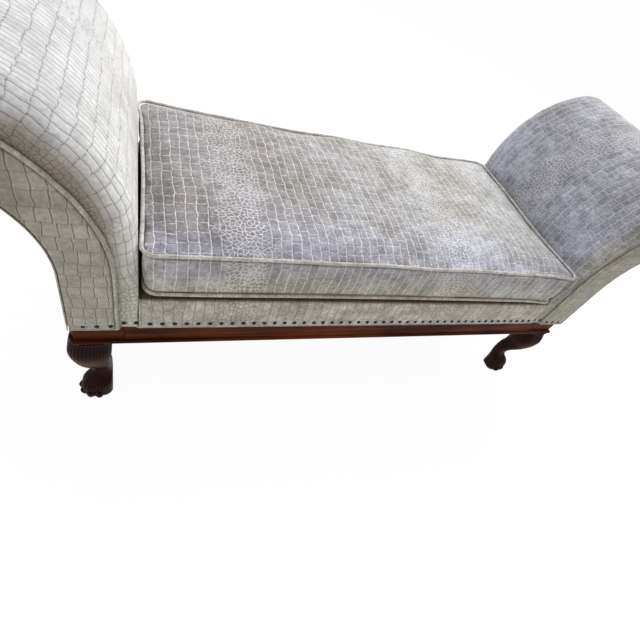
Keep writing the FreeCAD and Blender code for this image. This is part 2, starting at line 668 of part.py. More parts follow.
def pillow_border(inset):
    """Bulging sides between the two seams."""
    steps = ((0.0, 0.0), (0.25, 0.75), (0.5, 1.0), (0.75, 0.75), (1.0, 0.0))
    rings = [pillow_ring(inset - out * BORDER_BULGE, Z_CUSHION + up * BORDER_HEIGHT) for up, out in steps]
    return Part.makeLoft(rings, True, False)


def pillow_dome(inset, seam, rise):
    """Crown or belly from a seam to its middle."""
    steps = ((0.0, 0.0), (0.12, 0.34), (0.35, 0.72), (0.62, 0.93), (0.9, 1.0))
    reach = CUSHION_Y - CUSHION_CORNER
    rings = [pillow_ring(inset + part * reach, seam + up * rise) for part, up in steps]
    return Part.makeLoft(rings, True, False)


def cushion_covers():
    """Top panel, base panel and border of the cushion, with the core that fills them."""
    inner_top = pillow_dome(CUSHION_COVER, Z_CROWN, CROWN - CUSHION_COVER)
    inner_base = pillow_dome(CUSHION_COVER, Z_CUSHION, CUSHION_COVER - BELLY)
    inner_border = pillow_border(CUSHION_COVER)
    top = pillow_dome(0, Z_CROWN, CROWN).cut(inner_top).Solids[0]
    base = pillow_dome(0, Z_CUSHION, -BELLY).cut(inner_base).Solids[0]
    border = pillow_border(0).cut(inner_border).Solids[0]
    core = inner_border.fuse(inner_top).fuse(inner_base).removeSplitter().Solids[0]
    return top, base, border, core


def cushion_piping(z):
    """Cord round one seam of the cushion."""
    path = pillow_ring(-PIPING_STEP, z)
    start = path.Edges[0].Vertexes[0].Point
    heading = path.Edges[0].tangentAt(path.Edges[0].FirstParameter)
    ring = Part.Wire(Part.makeCircle(PIPING, start, heading))
    return path.makePipeShell([ring], True, False)


def zip_arc(out, low, high):
    """Strip along the rear border, between two distances from it."""
    half_length, half_depth = CUSHION_X + BORDER_BULGE, CUSHION_Y + BORDER_BULGE
    radius = pillow_sides(half_length, half_depth)[0]
    centre = (0.0, half_depth - CUSHION_DRAW + radius)
    near, far = radius - out, radius - out - ZIP_THICKNESS
    spread = math.degrees(math.asin(ZIP_LENGTH / 2 / radius))
    flat = on_plan(0)
    left, right = 270 - spread, 270 + spread
    edges = [turn(centre, near, left, right, flat)]
    edges.append(line(polar(centre, near, right), polar(centre, far, right), flat))
    edges.append(turn(centre, far, right, left, flat))
    edges.append(line(polar(centre, far, left), polar(centre, near, left), flat))
    return prism(edges, Vector(0, 0, low), Vector(0, 0, high))


def zip_tape():
    """Closed zip in the rear border."""
    return zip_arc(SEAT_GAP, Z_ZIP - ZIP_WIDTH / 2, Z_ZIP + ZIP_WIDTH / 2)


def zip_slider():
    """Slider at the right end of the zip, with its pull hanging down."""
    surface = zip_tape().BoundBox.YMax + SEAT_GAP
    x = ZIP_LENGTH / 2 - SLIDER_LENGTH
    low = (x - SLIDER_LENGTH / 2, surface, Z_ZIP - SLIDER_HEIGHT / 2)
    body = box(low, (x + SLIDER_LENGTH / 2, surface + SLIDER_THICKNESS, Z_ZIP + SLIDER_HEIGHT / 2))
    upright = [e for e in body.Edges if e.BoundBox.YLength > SLIDER_THICKNESS / 2]
    body = body.makeFillet(SLIDER_LENGTH / 4, upright)
    y = surface + SLIDER_THICKNESS - PULL_THICKNESS
    top = Z_ZIP - SLIDER_HEIGHT / 4
    pull = box((x - PULL_WIDTH / 2, y, top - PULL_LENGTH), (x + PULL_WIDTH / 2, y + PULL_THICKNESS, top))
    tip = [e for e in pull.Edges if e.BoundBox.YLength > PULL_THICKNESS / 2]
    pull = pull.makeFillet(PULL_WIDTH / 3, tip)
    return body.fuse(pull).removeSplitter()


# Nailheads

def nail_head(place, outward):
    """Domed head standing on a cover."""
    radius = NAIL_DIAMETER / 2
    edges = [line((0, 0), (radius, 0), on_front)]
    rise = (radius ** 2 + NAIL_DOME ** 2) / (2 * NAIL_DOME)
    tilt = math.degrees(math.asin(radius / rise)) / 2
    edges.append(bow((radius, 0), polar((0, NAIL_DOME - rise), rise, 90 - tilt), (0, NAIL_DOME), on_front))
    edges.append(line((0, NAIL_DOME), (0, 0), on_front))
    head = Part.Face(Part.Wire(edges)).revolve(Vector(0, 0, 0), Vector(0, 0, 1), 360)
    head.Placement = FreeCAD.Placement(place, FreeCAD.Rotation(Vector(0, 0, 1), outward))
    return head


def nails_along(count):
    """Places of a row of nails about the middle."""
    return [(i - (count - 1) / 2) * NAIL_PITCH for i in range(count)]


def nail_spot(reach):
    """Point on the rear covers at a distance from the middle."""
    if reach > X_STUMP:
        return Vector(reach, Y_FACING, Z_NAIL)
    if reach < X_SEAT - SEAT_END_ROOM - NAIL_DIAMETER / 2:
        return Vector(reach, Y_BAND, Z_NAIL)
    return Vector(max(reach, X_SEAT + NAIL_DIAMETER / 2), Y_PAD, Z_NAIL)


def rear_nails():
    """Nails across the rear: on the facings, the arm padding and the seat band."""
    heads = []
    count = 2 * int((X_END - NAIL_DIAMETER) // NAIL_PITCH) + 1
    cord = (X_STUMP - PIPING_DIAMETER - 2 * SEAT_GAP - NAIL_DIAMETER / 2, X_STUMP + NAIL_DIAMETER / 2)
    for x in nails_along(count):
        reach = abs(x)
        if cord[0] < reach < cord[1]:
            reach = min(cord, key=lambda edge: abs(edge - reach))
        head = nail_head(nail_spot(reach) + Vector(0, SEAT_GAP, 0), Vector(0, 1, 0))
        heads.append(head if x > 0 else flip_x(head))
    return Part.makeCompound(heads)


def end_nails():
    """Nails along the foot of the right outside panel."""
    x = X_END + 2 * SEAT_GAP + PANEL_THICKNESS
    count = int((DEPTH - NAIL_DIAMETER) // NAIL_PITCH)
    heads = [nail_head(Vector(x, y, Z_NAIL), Vector(1, 0, 0)) for y in nails_along(count)]
    return Part.makeCompound(heads)


def arm_nodes():
    """Every piece of the right arm by name."""
    stuffing = pad_form(COVER)
    nodes = {"arm_stuffing": stuffing, "arm_cover": pad_form(0).cut(stuffing).Solids[0]}
    nodes["arm_hessian"] = arm_hessian()
    nodes["roll_rail"] = roll_rail()
    nodes["tacking_rails"] = tacking_rails()
    nodes["outside_panel"] = outside_panel()
    for name, shape in (("stump", stump()), ("facing", facing()), ("arm_piping", arm_piping())):
        nodes["rear_" + name] = shape
        nodes["front_" + name] = flip_y(shape)
    return nodes


def all_nodes():
    """Every piece of the bench by name."""
    nodes = {"front_rail": long_rail(), "rear_rail": flip_y(long_rail())}
    nodes["right_end_rail"] = end_rail()
    nodes["left_end_rail"] = flip_x(end_rail())
    rear_bead = bead(Y_BLOCK, on_side, X_BLOCK + BLOCK_SETBACK / 2, Vector(1, 0, 0))
    right_bead = bead(X_BLOCK, on_front, Y_BLOCK_IN, Vector(0, 1, 0))
    nodes["rear_bead"], nodes["front_bead"] = rear_bead, flip_y(rear_bead)
    nodes["right_bead"], nodes["left_bead"] = right_bead, flip_x(right_bead)
    rear_right = leg()
    nodes["rear_right_leg"], nodes["front_right_leg"] = rear_right, flip_y(rear_right)
    nodes["rear_left_leg"], nodes["front_left_leg"] = flip_x(rear_right), flip_x(flip_y(rear_right))
    nodes["centre_stretcher"] = stretcher()
    nodes["rail_dowels"] = dowels(dowel_places())
    nodes["stump_dowels"] = dowels(stump_places())
    nodes["cross_webbing"] = cross_webbing()
    nodes["long_webbing"] = long_webbing()
    nodes["seat_hessian"] = seat_hessian()
    nodes["seat_stuffing"] = seat_stuffing()
    nodes["seat_cover"] = seat_cover()
    nodes["dust_cover"] = dust_cover()
    for name, shape in arm_nodes().items():
        nodes["right_" + name] = shape
        nodes["left_" + name] = flip_x(shape)
    rear_row, right_row = rear_nails(), end_nails()
    nodes["rear_nails"], nodes["front_nails"] = rear_row, flip_y(rear_row)
    nodes["right_nails"], nodes["left_nails"] = right_row, flip_x(right_row)
    top, base, border, core = cushion_covers()
    nodes["cushion_top"], nodes["cushion_base"] = top, base
    nodes["cushion_border"], nodes["cushion_core"] = border, core
    nodes["cushion_top_piping"] = cushion_piping(Z_CROWN + PIPING_STEP)
    nodes["cushion_base_piping"] = cushion_piping(Z_CUSHION - PIPING_STEP)
    nodes["zip_tape"] = zip_tape()
    nodes["zip_slider"] = zip_slider()
    return nodes


os.makedirs("parts", exist_ok=True)
for node_name, node_shape in all_nodes().items():
    node_shape.exportStep("parts/" + node_name + ".step")
    print(node_name, len(node_shape.Solids), "valid" if node_shape.isValid() else "INVALID",
          round(node_shape.Volume / 1000), "cm3")
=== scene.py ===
"""Looks of a bench settee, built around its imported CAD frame."""

import json
import logging
import math
from dataclasses import dataclass
from enum import Enum
from typing import Any, Callable, Dict, List, Optional, Sequence, Tuple

import bpy
import numpy as np
from mathutils import Euler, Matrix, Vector


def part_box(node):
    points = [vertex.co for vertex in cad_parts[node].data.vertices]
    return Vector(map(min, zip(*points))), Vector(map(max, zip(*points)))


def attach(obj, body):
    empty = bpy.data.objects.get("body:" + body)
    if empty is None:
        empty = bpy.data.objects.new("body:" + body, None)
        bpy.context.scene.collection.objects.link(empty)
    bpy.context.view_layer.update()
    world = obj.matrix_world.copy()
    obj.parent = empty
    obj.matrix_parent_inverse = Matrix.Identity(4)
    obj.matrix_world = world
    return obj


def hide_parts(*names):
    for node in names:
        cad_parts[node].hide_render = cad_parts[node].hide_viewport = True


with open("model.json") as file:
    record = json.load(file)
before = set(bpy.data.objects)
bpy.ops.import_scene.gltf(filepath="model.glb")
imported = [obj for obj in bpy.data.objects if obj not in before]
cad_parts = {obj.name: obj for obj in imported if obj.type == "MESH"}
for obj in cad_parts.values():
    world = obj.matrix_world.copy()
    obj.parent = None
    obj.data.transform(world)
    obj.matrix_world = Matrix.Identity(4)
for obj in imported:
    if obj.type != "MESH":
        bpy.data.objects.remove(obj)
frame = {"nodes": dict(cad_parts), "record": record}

LOG = logging.getLogger("bench_settee")
Array = np.ndarray
Rgb = Tuple[float, float, float]
Point = Tuple[float, float]
CLOTH = "cloth"
CLOTH_THICKNESS = 0.002
CLOTH_CREASE = 60.0
MERGE = 2e-5
WHITE = (1.0, 1.0, 1.0, 1.0)
RAIL_DARK: Rgb = (0.030, 0.0060, 0.0016)
RAIL_LIGHT: Rgb = (0.112, 0.029, 0.0080)


class Body(Enum):
    """Bodies that new pieces ride on."""

    BENCH = "bench"
    CUSHION = "seat_cushion"


class Slot(Enum):
    """Material slots of the record. Nothing in the script reads this list."""

    VELVET = "velvet"
    PIPING = "piping"
    LEG_WOOD = "leg_wood"
    DUST_CLOTH = "dust_cloth"
    ZIP_TAPE = "zip_tape"
    ZIP_METAL = "zip_metal"


# Mesh work shared by every piece

def clear_selection() -> None:
    """Leave edit mode and deselect everything."""
    active = bpy.context.view_layer.objects.active
    if active is not None and active.mode != "OBJECT":
        bpy.ops.object.mode_set(mode="OBJECT")
    bpy.ops.object.select_all(action="DESELECT")


def pick(piece: bpy.types.Object) -> None:
    """Select one piece alone and make it active.

    Args:
        piece: piece to select.
    """
    clear_selection()
    piece.select_set(True)
    bpy.context.view_layer.objects.active = piece


def read_points(piece: bpy.types.Object) -> Array:
    """Give a piece's vertices as rows of x, y and z.

    Args:
        piece: mesh to read.

    Returns:
        One row per vertex.
    """
    flat = np.empty(len(piece.data.vertices) * 3)
    piece.data.vertices.foreach_get("co", flat)
    return flat.reshape(-1, 3)


def write_points(piece: bpy.types.Object, points: Array) -> None:
    """Move a piece's vertices to rows of x, y and z."""
    piece.data.vertices.foreach_set("co", np.ascontiguousarray(points, dtype=float).ravel())
    piece.data.update()


def write_cloth(piece: bpy.types.Object, cloth: Array) -> None:
    """Write a cloth map in metres, one row per vertex.

    Args:
        piece: mesh that the map goes on.
        cloth: across and along the cloth's main lines, one row per vertex.
    """
    mesh = piece.data
    layer = mesh.uv_layers.get(CLOTH) or mesh.uv_layers.new(name=CLOTH)
    corners = np.empty(len(mesh.loops), dtype=np.int64)
    mesh.loops.foreach_get("vertex_index", corners)
    layer.data.foreach_set("uv", cloth[corners].ravel())
    for other in [entry for entry in mesh.uv_layers if entry.name != CLOTH]:
        mesh.uv_layers.remove(other)


def apply_modifier(piece: bpy.types.Object, kind: str, **settings: Any) -> None:
    """Add one modifier to a piece and apply it.

    Args:
        piece: mesh to change.
        kind: Blender's name for the modifier.
        settings: properties to set before it is applied.
    """
    pick(piece)
    modifier = piece.modifiers.new(kind.lower(), kind)
    for key, value in settings.items():
        setattr(modifier, key, value)
    bpy.ops.object.modifier_apply(modifier=modifier.name)


def face_out(piece: bpy.types.Object, inside: Sequence[float]) -> None:
    """Turn a sheet's faces away from a point that lies behind it.

    Args:
        piece: sheet whose faces all point one way.
        inside: point on the hidden side.
    """
    centre = Vector(inside)
    lean = sum(face.area * face.normal.dot(face.center - centre) for face in piece.data.polygons)
    if lean < 0:
        pick(piece)
        bpy.ops.object.mode_set(mode="EDIT")
        bpy.ops.mesh.select_all(action="SELECT")
        bpy.ops.mesh.flip_normals()
        bpy.ops.object.mode_set(mode="OBJECT")


def weld(piece: bpy.types.Object, reach: float) -> None:
    """Merge the vertices of a piece that lie within a reach of each other.

    Args:
        piece: mesh to merge.
        reach: greatest distance between vertices that become one.
    """
    pick(piece)
    bpy.ops.object.mode_set(mode="EDIT")
    bpy.ops.mesh.select_all(action="SELECT")
    bpy.ops.mesh.remove_doubles(threshold=reach)
    bpy.ops.object.mode_set(mode="OBJECT")


def smooth(piece: bpy.types.Object, degrees: float) -> None:
    """Shade a piece smooth where its faces meet at less than an angle."""
    pick(piece)
    bpy.ops.object.shade_smooth_by_angle(angle=math.radians(degrees))


def thicken(piece: bpy.types.Object, thickness: float) -> None:
    """Give a sheet its thickness on the hidden side, and shade it."""
    apply_modifier(piece, "SOLIDIFY", thickness=thickness, offset=-1.0)
    smooth(piece, CLOTH_CREASE)


def read_normals(piece: bpy.types.Object) -> Array:
    """Give the normals at a piece's vertices as rows of x, y and z.

    Args:
        piece: mesh to read.

    Returns:
        One row per vertex.
    """
    flat = np.empty(len(piece.data.vertices) * 3)
    piece.data.vertices.foreach_get("normal", flat)
    return flat.reshape(-1, 3)


def shaped_grid(name: str, columns: int, rows: int,
                place: Callable[[Array, Array], Tuple[Array, Array]]) -> bpy.types.Object:
    """Shape a flat grid into a sheet.

    Args:
        name: name of the piece.
        columns: faces across.
        rows: faces along.
        place: takes shares across and along, and gives points and their cloth map.

    Returns:
        The new mesh object, at the origin.
    """
    clear_selection()
    bpy.ops.mesh.primitive_grid_add(x_subdivisions=columns, y_subdivisions=rows, size=2.0)
    piece = bpy.context.object
    piece.name = piece.data.name = name
    flat = (read_points(piece)[:, :2] + 1.0) / 2.0
    points, cloth = place(flat[:, 0], flat[:, 1])
    write_points(piece, points)
    write_cloth(piece, cloth)
    return piece


def tube(name: str, path: Array, radius: float, closed: bool, sides: int = 3) -> bpy.types.Object:
    """Run a round cord along a path.

    Args:
        name: name of the piece.
        path: rows of x, y and z.
        radius: radius of the cord.
        closed: whether the path joins up with its start.
        sides: resolution of the round section.

    Returns:
        The new mesh object, at the origin.
    """
    clear_selection()
    curve = bpy.data.curves.new(name, "CURVE")
    curve.dimensions = "3D"
    curve.bevel_depth = radius
    curve.bevel_resolution = sides
    curve.use_fill_caps = True
    spline = curve.splines.new("POLY")
    spline.points.add(len(path) - 1)
    spline.points.foreach_set("co", np.c_[path, np.ones(len(path))].ravel())
    spline.use_cyclic_u = closed
    piece = bpy.data.objects.new(name, curve)
    bpy.context.scene.collection.objects.link(piece)
    pick(piece)
    bpy.ops.object.convert(target="MESH")
    piece = bpy.context.object
    piece.name = piece.data.name = name
    weld(piece, radius / 50)
    bpy.ops.object.shade_smooth()
    return piece


def node_copy(node: str, name: str) -> bpy.types.Object:
    """Give a merged copy of a CAD node's mesh as a new piece.

    Args:
        node: name of the CAD node.
        name: name of the piece.

    Returns:
        The copy, with no finish yet.
    """
    source = frame["nodes"][node]
    piece = bpy.data.objects.new(name, source.data.copy())
    bpy.context.scene.collection.objects.link(piece)
    piece.data.materials.clear()
    piece.matrix_world = source.matrix_world
    weld(piece, 1e-5)
    return piece


def ripple(points: Array, length: float, seed: float) -> Array:
    """Give a soft, even unevenness of about -1 to 1 over space.

    Args:
        points: rows of x, y and z.
        length: typical distance from crest to crest.
        seed: shifts the pattern.

    Returns:
        One value per row.
    """
    turn = 2 * math.pi / length
    total = np.zeros(len(points))
    for step in range(1, 6):
        angle = seed + 2.4 * step
        way = np.array([math.cos(angle), math.sin(angle), math.cos(1.7 * angle)])
        total += np.sin(turn * (0.7 + 0.17 * step) * (points @ way) + 5.1 * step + 3 * seed)
    return total / 3.0


def ramp(distance: Array, length: float) -> Array:
    """Give a share that climbs from 0 at no distance to 1 at a length."""
    return np.clip(distance / length, 0.0, 1.0)


def set_out(piece: bpy.types.Object, body: Body, finish: bpy.types.Material,
            nodes: Sequence[str] = ()) -> bpy.types.Object:
    """Dress a piece and tie it to its body.

    Args:
        piece: finished mesh.
        body: body that it rides on.
        finish: material.
        nodes: CAD nodes that it stands for.

    Returns:
        The same piece.
    """
    piece.data.materials.clear()
    piece.data.materials.append(finish)
    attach(piece, body.value)
    if nodes:
        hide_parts(*nodes)
    LOG.info("%s: %d faces on %s", piece.name, len(piece.data.polygons), body.value)
    return piece


# Finishes

class Palette:
    """Wires the nodes of one material."""

    def __init__(self, name: str) -> None:
        """Start a material with a bare surface shader.

        Args:
            name: name of the material.
        """
        self.material = bpy.data.materials.new(name)
        self.material.use_nodes = True
        self.tree = self.material.node_tree
        self.shader = self.tree.nodes["Principled BSDF"]

    def feed(self, socket: bpy.types.NodeSocket, value: Any) -> None:
        """Link a socket into another, or set its own value.

        Args:
            socket: input to fill.
            value: another node's output, or a plain value.
        """
        if isinstance(value, bpy.types.NodeSocket):
            self.tree.links.new(value, socket)
        else:
            socket.default_value = value

    def node(self, kind: str, inputs: Optional[Dict[Any, Any]] = None,
             **settings: Any) -> bpy.types.Node:
        """Add a node.

        Args:
            kind: node type without its ShaderNode prefix.
            inputs: values or sockets by input name or number.
            settings: properties of the node.

        Returns:
            The node.
        """
        made = self.tree.nodes.new("ShaderNode" + kind)
        for key, value in settings.items():
            setattr(made, key, value)
        for key, value in (inputs or {}).items():
            self.feed(made.inputs[key], value)
        return made

    def math(self, operation: str, a: Any, b: Any = 0.0) -> bpy.types.NodeSocket:
        """Work out a number from two."""
        return self.node("Math", {0: a, 1: b}, operation=operation).outputs[0]

    def span(self, value: Any, low: float, high: float,
             first: float, last: float) -> bpy.types.NodeSocket:
        """Carry a number smoothly from one range to another."""
        inputs = {"Value": value, "From Min": low, "From Max": high, "To Min": first, "To Max": last}
        return self.node("MapRange", inputs, interpolation_type="SMOOTHSTEP").outputs[0]

    def mix(self, share: Any, a: Any, b: Any) -> bpy.types.NodeSocket:
        """Mix two colours."""
        return self.node("Mix", {0: share, 6: a, 7: b}, data_type="RGBA").outputs[2]

    def blend(self, share: Any, a: Any, b: Any) -> bpy.types.NodeSocket:
        """Mix two numbers."""
        return self.node("Mix", {0: share, 2: a, 3: b}, data_type="FLOAT").outputs[0]

    def tint(self, colour: Any, value: Any) -> bpy.types.NodeSocket:
        """Scale a colour by a number."""
        return self.node("VectorMath", {0: colour, "Scale": value}, operation="SCALE").outputs[0]

    def noise(self, place: Any, scale: float, detail: float = 2.0,
              roughness: float = 0.5) -> bpy.types.Node:
        """Add a noise texture."""
        inputs = {"Vector": place, "Scale": scale, "Detail": detail, "Roughness": roughness}
        return self.node("TexNoise", inputs)

    def scaled(self, place: Any, scale: Sequence[float]) -> bpy.types.NodeSocket:
        """Scale a place along its axes."""
        return self.node("VectorMath", {0: place, 1: tuple(scale)}, operation="MULTIPLY").outputs[0]

    def object_place(self) -> bpy.types.NodeSocket:
        """Give the place on the object, in metres."""
        return self.node("TexCoord").outputs["Object"]

    def times(self, a: Any, b: Any) -> bpy.types.NodeSocket:
        """Multiply two numbers."""
        return self.math("MULTIPLY", a, b)

    def axes(self, place: Any) -> Any:
        """Split a place into its x, y and z."""
        return self.node("SeparateXYZ", {0: place}).outputs

    def bump(self, height: Any, strength: float, distance: float) -> None:
        """Raise the surface by a height."""
        made = self.node("Bump", {"Height": height, "Strength": strength, "Distance": distance})
        self.feed(self.shader.inputs["Normal"], made.outputs[0])

    def surface(self, **values: Any) -> bpy.types.Material:
        """Set the shader's inputs by name, with underscores for blanks.

        Args:
            values: outputs or plain values by input name.

        Returns:
            The material.
        """
        for key, value in values.items():
            self.feed(self.shader.inputs[key.replace("_", " ").title().replace("Ior", "IOR")], value)
        return self.material


def rgba(colour: Rgb) -> Tuple[float, float, float, float]:
    """Give a colour with full cover."""
    return (*colour, 1.0)


class Way(Enum):
    """Direction on the cloth map, or upwards."""

    ACROSS = 0
    ALONG = 1
    UP = 2


@dataclass(frozen=True)
class Wash:
    """Change of tone over a stretch of the cloth, none at one place and full at another; most washes
    are painted light or shade.
    """

    way: Way
    none_at: float
    full_at: float
    tint: Rgb
    mirrored: bool = False
    foot_share: float = 1.0


@dataclass(frozen=True)
class CrocVelvet:
    """Velvet embossed with crocodile scales: columns of large ones between runs of small ones."""

    name: str
    pile: Rgb
    crushed: Rgb
    # line and cross are the colours of the pressed lines: pale ones are painted sheen, dark ones
    # painted shade in the grooves, chosen per part for the light it shows.
    line: Rgb
    cross: Rgb
    line_strength: float = 0.7
    cross_strength: float = 0.55
    # rim_strength: strength of the painted highlight beside the lines.
    rim_strength: float = 0.0
    small_centre: float = -0.33
    small_share: float = 0.36
    repeat: float = 0.42
    scale_width: float = 0.021
    scale_length: float = 0.029
    small_width: float = 0.0105
    line_width: float = 0.0013
    row_shift: float = 0.0
    stagger: float = 0.5
    # sparkle: strength of the painted glints.
    sparkle: float = 0.30
    sheen: float = 0.35
    mottle: float = 1.0
    wandering: float = 0.013
    small_foot: float = -9.0
    broken: float = 0.6
    cell_tone: float = 0.05
    far_lines: float = 1.0
    washes: Tuple[Wash, ...] = ()

    def wander(self, kit: Palette, cloth: Any, scale: float, amount: float) -> bpy.types.NodeSocket:
        """Shift places on the cloth by a soft noise.

        Args:
            kit: material being wired.
            cloth: place on the cloth.
            scale: fineness of the noise.
            amount: width of the shift in metres.

        Returns:
            The shifted place.
        """
        noise = kit.noise(cloth, scale, 1.0).outputs["Color"]
        inputs = {0: noise, 1: (0.5, 0.5, 0.5)}
        centred = kit.node("VectorMath", inputs, operation="SUBTRACT").outputs[0]
        inputs = {0: centred, 1: (amount, amount, 0.0), 2: cloth}
        return kit.node("VectorMath", inputs, operation="MULTIPLY_ADD").outputs[0]

    def to_line(self, kit: Palette, count: Any, pitch: float) -> bpy.types.NodeSocket:
        """Distance in metres from a running count to its nearest whole number."""
        share = kit.math("SUBTRACT", kit.math("FRACT", count), 0.5)
        return kit.times(kit.math("SUBTRACT", 0.5, kit.math("ABSOLUTE", share)), pitch)

    def chance(self, kit: Palette, count: Any) -> bpy.types.NodeSocket:
        """Random number for each whole step of a count."""
        step = kit.math("FLOOR", count)
        return kit.node("TexWhiteNoise", {"W": step}, noise_dimensions="1D").outputs["Value"]

    def zone(self, kit: Palette, cloth: Any, across: Any) -> bpy.types.NodeSocket:
        """Give 1 where the scales are small.

        Args:
            kit: material being wired.
            cloth: place on the cloth.
            across: distance across the cloth.

        Returns:
            1 among small scales and 0 among large ones.
        """
        ragged = kit.times(kit.noise(cloth, 22.0, 2.0).outputs[0], 2.0)
        inputs = {0: across, 1: 2 * math.pi / self.repeat,
                  2: math.pi / 2 - 2 * math.pi * self.small_centre / self.repeat - 1.0}
        turn = kit.node("Math", inputs, operation="MULTIPLY_ADD").outputs[0]
        wave = kit.math("SINE", kit.math("ADD", turn, ragged))
        edge = math.cos(math.pi * self.small_share)
        return kit.span(wave, edge - 0.15, edge + 0.15, 0.0, 1.0)

    def make(self) -> bpy.types.Material:
        """Wire the cloth map into scales, lines, pile and sheen.

        Returns:
            The material.
        """
        kit = Palette(self.name)
        cloth = kit.node("UVMap", uv_map=CLOTH).outputs[0]
        bent = self.wander(kit, self.wander(kit, cloth, 14.0, self.wandering), 55.0, 0.005)
        parts = kit.axes(bent)
        rows = kit.math("DIVIDE", parts[1], self.scale_length)
        columns = kit.math("ADD", kit.math("DIVIDE", parts[0], self.scale_width),
                           kit.times(self.chance(kit, rows), self.row_shift))
        rows = kit.math("ADD", rows, kit.times(self.chance(kit, columns), self.stagger))
        main_line = self.to_line(kit, columns, self.scale_width)
        crumble = kit.noise(cloth, 240.0, 2.0, 0.6).outputs[0]
        cross_line = kit.math("ADD", self.to_line(kit, rows, self.scale_length),
                              kit.times(kit.math("SUBTRACT", crumble, 0.5), 0.0055))
        small_place = kit.scaled(bent, (1 / self.small_width, 1 / self.small_width, 0.0))
        small = kit.node("TexVoronoi", {"Vector": small_place, "Scale": 1.0, "Randomness": 0.85},
                         voronoi_dimensions="2D", feature="DISTANCE_TO_EDGE").outputs["Distance"]
        small_line = kit.times(small, self.small_width)
        zone = kit.math("MAXIMUM", self.zone(kit, cloth, parts[0]),
                        kit.span(parts[1], self.small_foot, self.small_foot + 0.04, 1.0, 0.0))
        width = self.line_width
        main_groove = kit.span(main_line, 0.25 * width, width, self.line_strength, 0.0)
        cross_groove = kit.span(cross_line, 0.2 * width, width, self.cross_strength, 0.0)
        small_groove = kit.span(small_line, 0.2 * width, 1.1 * width, self.line_strength, 0.0)
        large_only = kit.math("SUBTRACT", 1.0, zone)
        # Painted highlight: a pale band beside each large scale's lines.
        beside_line = kit.span(main_line, width, 2.0 * width, self.rim_strength, 0.0)
        rim = kit.times(beside_line, large_only)
        depth = kit.blend(zone, kit.math("MINIMUM", main_line, cross_line), small_line)
        pillow = kit.span(depth, 0.0, 0.0045, 0.0, 1.0)
        fibre = kit.noise(cloth, 620.0, 2.0, 0.7).outputs[0]
        nap = kit.noise(cloth, 130.0, 4.0, 0.7).outputs[0]
        smudge = kit.noise(cloth, 24.0, 4.0, 0.65).outputs[0]
        patch = kit.noise(cloth, 5.0, 3.0, 0.6).outputs[0]
        colour = kit.mix(kit.span(patch, 0.38, 0.64, 0.0, 1.0), rgba(self.pile), rgba(self.crushed))
        low, high = 1 - 0.30 * self.mottle, 1 + 0.25 * self.mottle
        shade = kit.times(kit.span(smudge, 0.3, 0.7, low, high), kit.span(nap, 0.3, 0.7, low, high))
        whole = {0: kit.math("FLOOR", columns), 1: kit.math("FLOOR", rows)}
        cells = kit.node("CombineXYZ", whole).outputs[0]
        tone = kit.node("TexWhiteNoise", {"Vector": cells}, noise_dimensions="2D").outputs["Value"]
        tone = kit.span(tone, 0.0, 1.0, 1 - self.cell_tone, 1 + self.cell_tone)
        shade = kit.times(shade, kit.blend(zone, tone, 1.0))
        colour = kit.tint(colour, shade)
        # Painted glints: pale specks where the fine fibre noise is high; they and the painted
        # highlight beside the lines are mixed towards one pale colour.
        glint = kit.times(kit.span(fibre, 0.54, 0.70, 0.0, 1.0), self.sparkle)
        colour = kit.mix(kit.math("MAXIMUM", glint, rim), colour, rgba((0.80, 0.80, 0.81)))
        flat = kit.axes(cloth)
        far = kit.span(flat[0], -0.45, 0.45, 0.0, 1.0)
        # Lines break up at random, and on the top they fade towards the right end along with the
        # painted light there.
        worn = kit.span(nap, 0.3, 0.7, self.broken, 1.1)
        worn = kit.times(worn, kit.blend(far, 1.0, self.far_lines))
        cross_share = kit.times(kit.times(cross_groove, large_only), worn)
        colour = kit.mix(cross_share, colour, rgba(self.cross))
        line_share = kit.times(kit.blend(zone, main_groove, small_groove), worn)
        colour = kit.mix(line_share, colour, rgba(self.line))
        for wash in self.washes:
            parts = kit.axes(kit.object_place()) if wash.way is Way.UP else flat
            place = parts[wash.way.value]
            place = kit.math("ABSOLUTE", place) if wash.mirrored else place
            share = kit.span(place, wash.none_at, wash.full_at, 0.0, 1.0)
            if wash.foot_share < 1.0:
                share = kit.times(share, kit.span(flat[1], 0.05, 0.30, wash.foot_share, 1.0))
            colour = kit.mix(share, colour, kit.scaled(colour, wash.tint))
        height = kit.math("ADD", pillow, kit.times(fibre, 0.14))
        kit.bump(kit.math("ADD", height, kit.times(nap, 0.30)), 0.6, 0.0015)
        kit.surface(roughness=0.85, specular_ior_level=0.2)
        kit.surface(sheen_weight=self.sheen, sheen_roughness=0.4)
        return kit.surface(base_color=colour)


@dataclass(frozen=True)
class CordVelvet:
    """The same velvet pulled tight round a piping cord."""

    name: str
    pile: Rgb
    shaded: Rgb

    def make(self) -> bpy.types.Material:
        """Wire a tight, slightly worn nap.

        Returns:
            The material.
        """
        kit = Palette(self.name)
        place = kit.object_place()
        nap = kit.noise(place, 210.0, 3.0, 0.7).outputs[0]
        patch = kit.noise(place, 38.0, 2.0).outputs[0]
        colour = kit.mix(kit.span(patch, 0.35, 0.68, 0.0, 1.0), rgba(self.pile), rgba(self.shaded))
        colour = kit.tint(colour, kit.span(nap, 0.3, 0.7, 0.68, 1.22))
        kit.bump(nap, 0.6, 0.0010)
        kit.surface(roughness=0.8, sheen_weight=0.3, sheen_roughness=0.4, specular_ior_level=0.2)
        return kit.surface(base_color=colour)


class Grain(Enum):
    """Direction in which a piece of wood was cut, as the stretch of its figure."""

    LENGTH = (1.6, 34.0, 34.0)
    DEPTH = (34.0, 1.6, 34.0)
    UPRIGHT = (34.0, 34.0, 3.0)


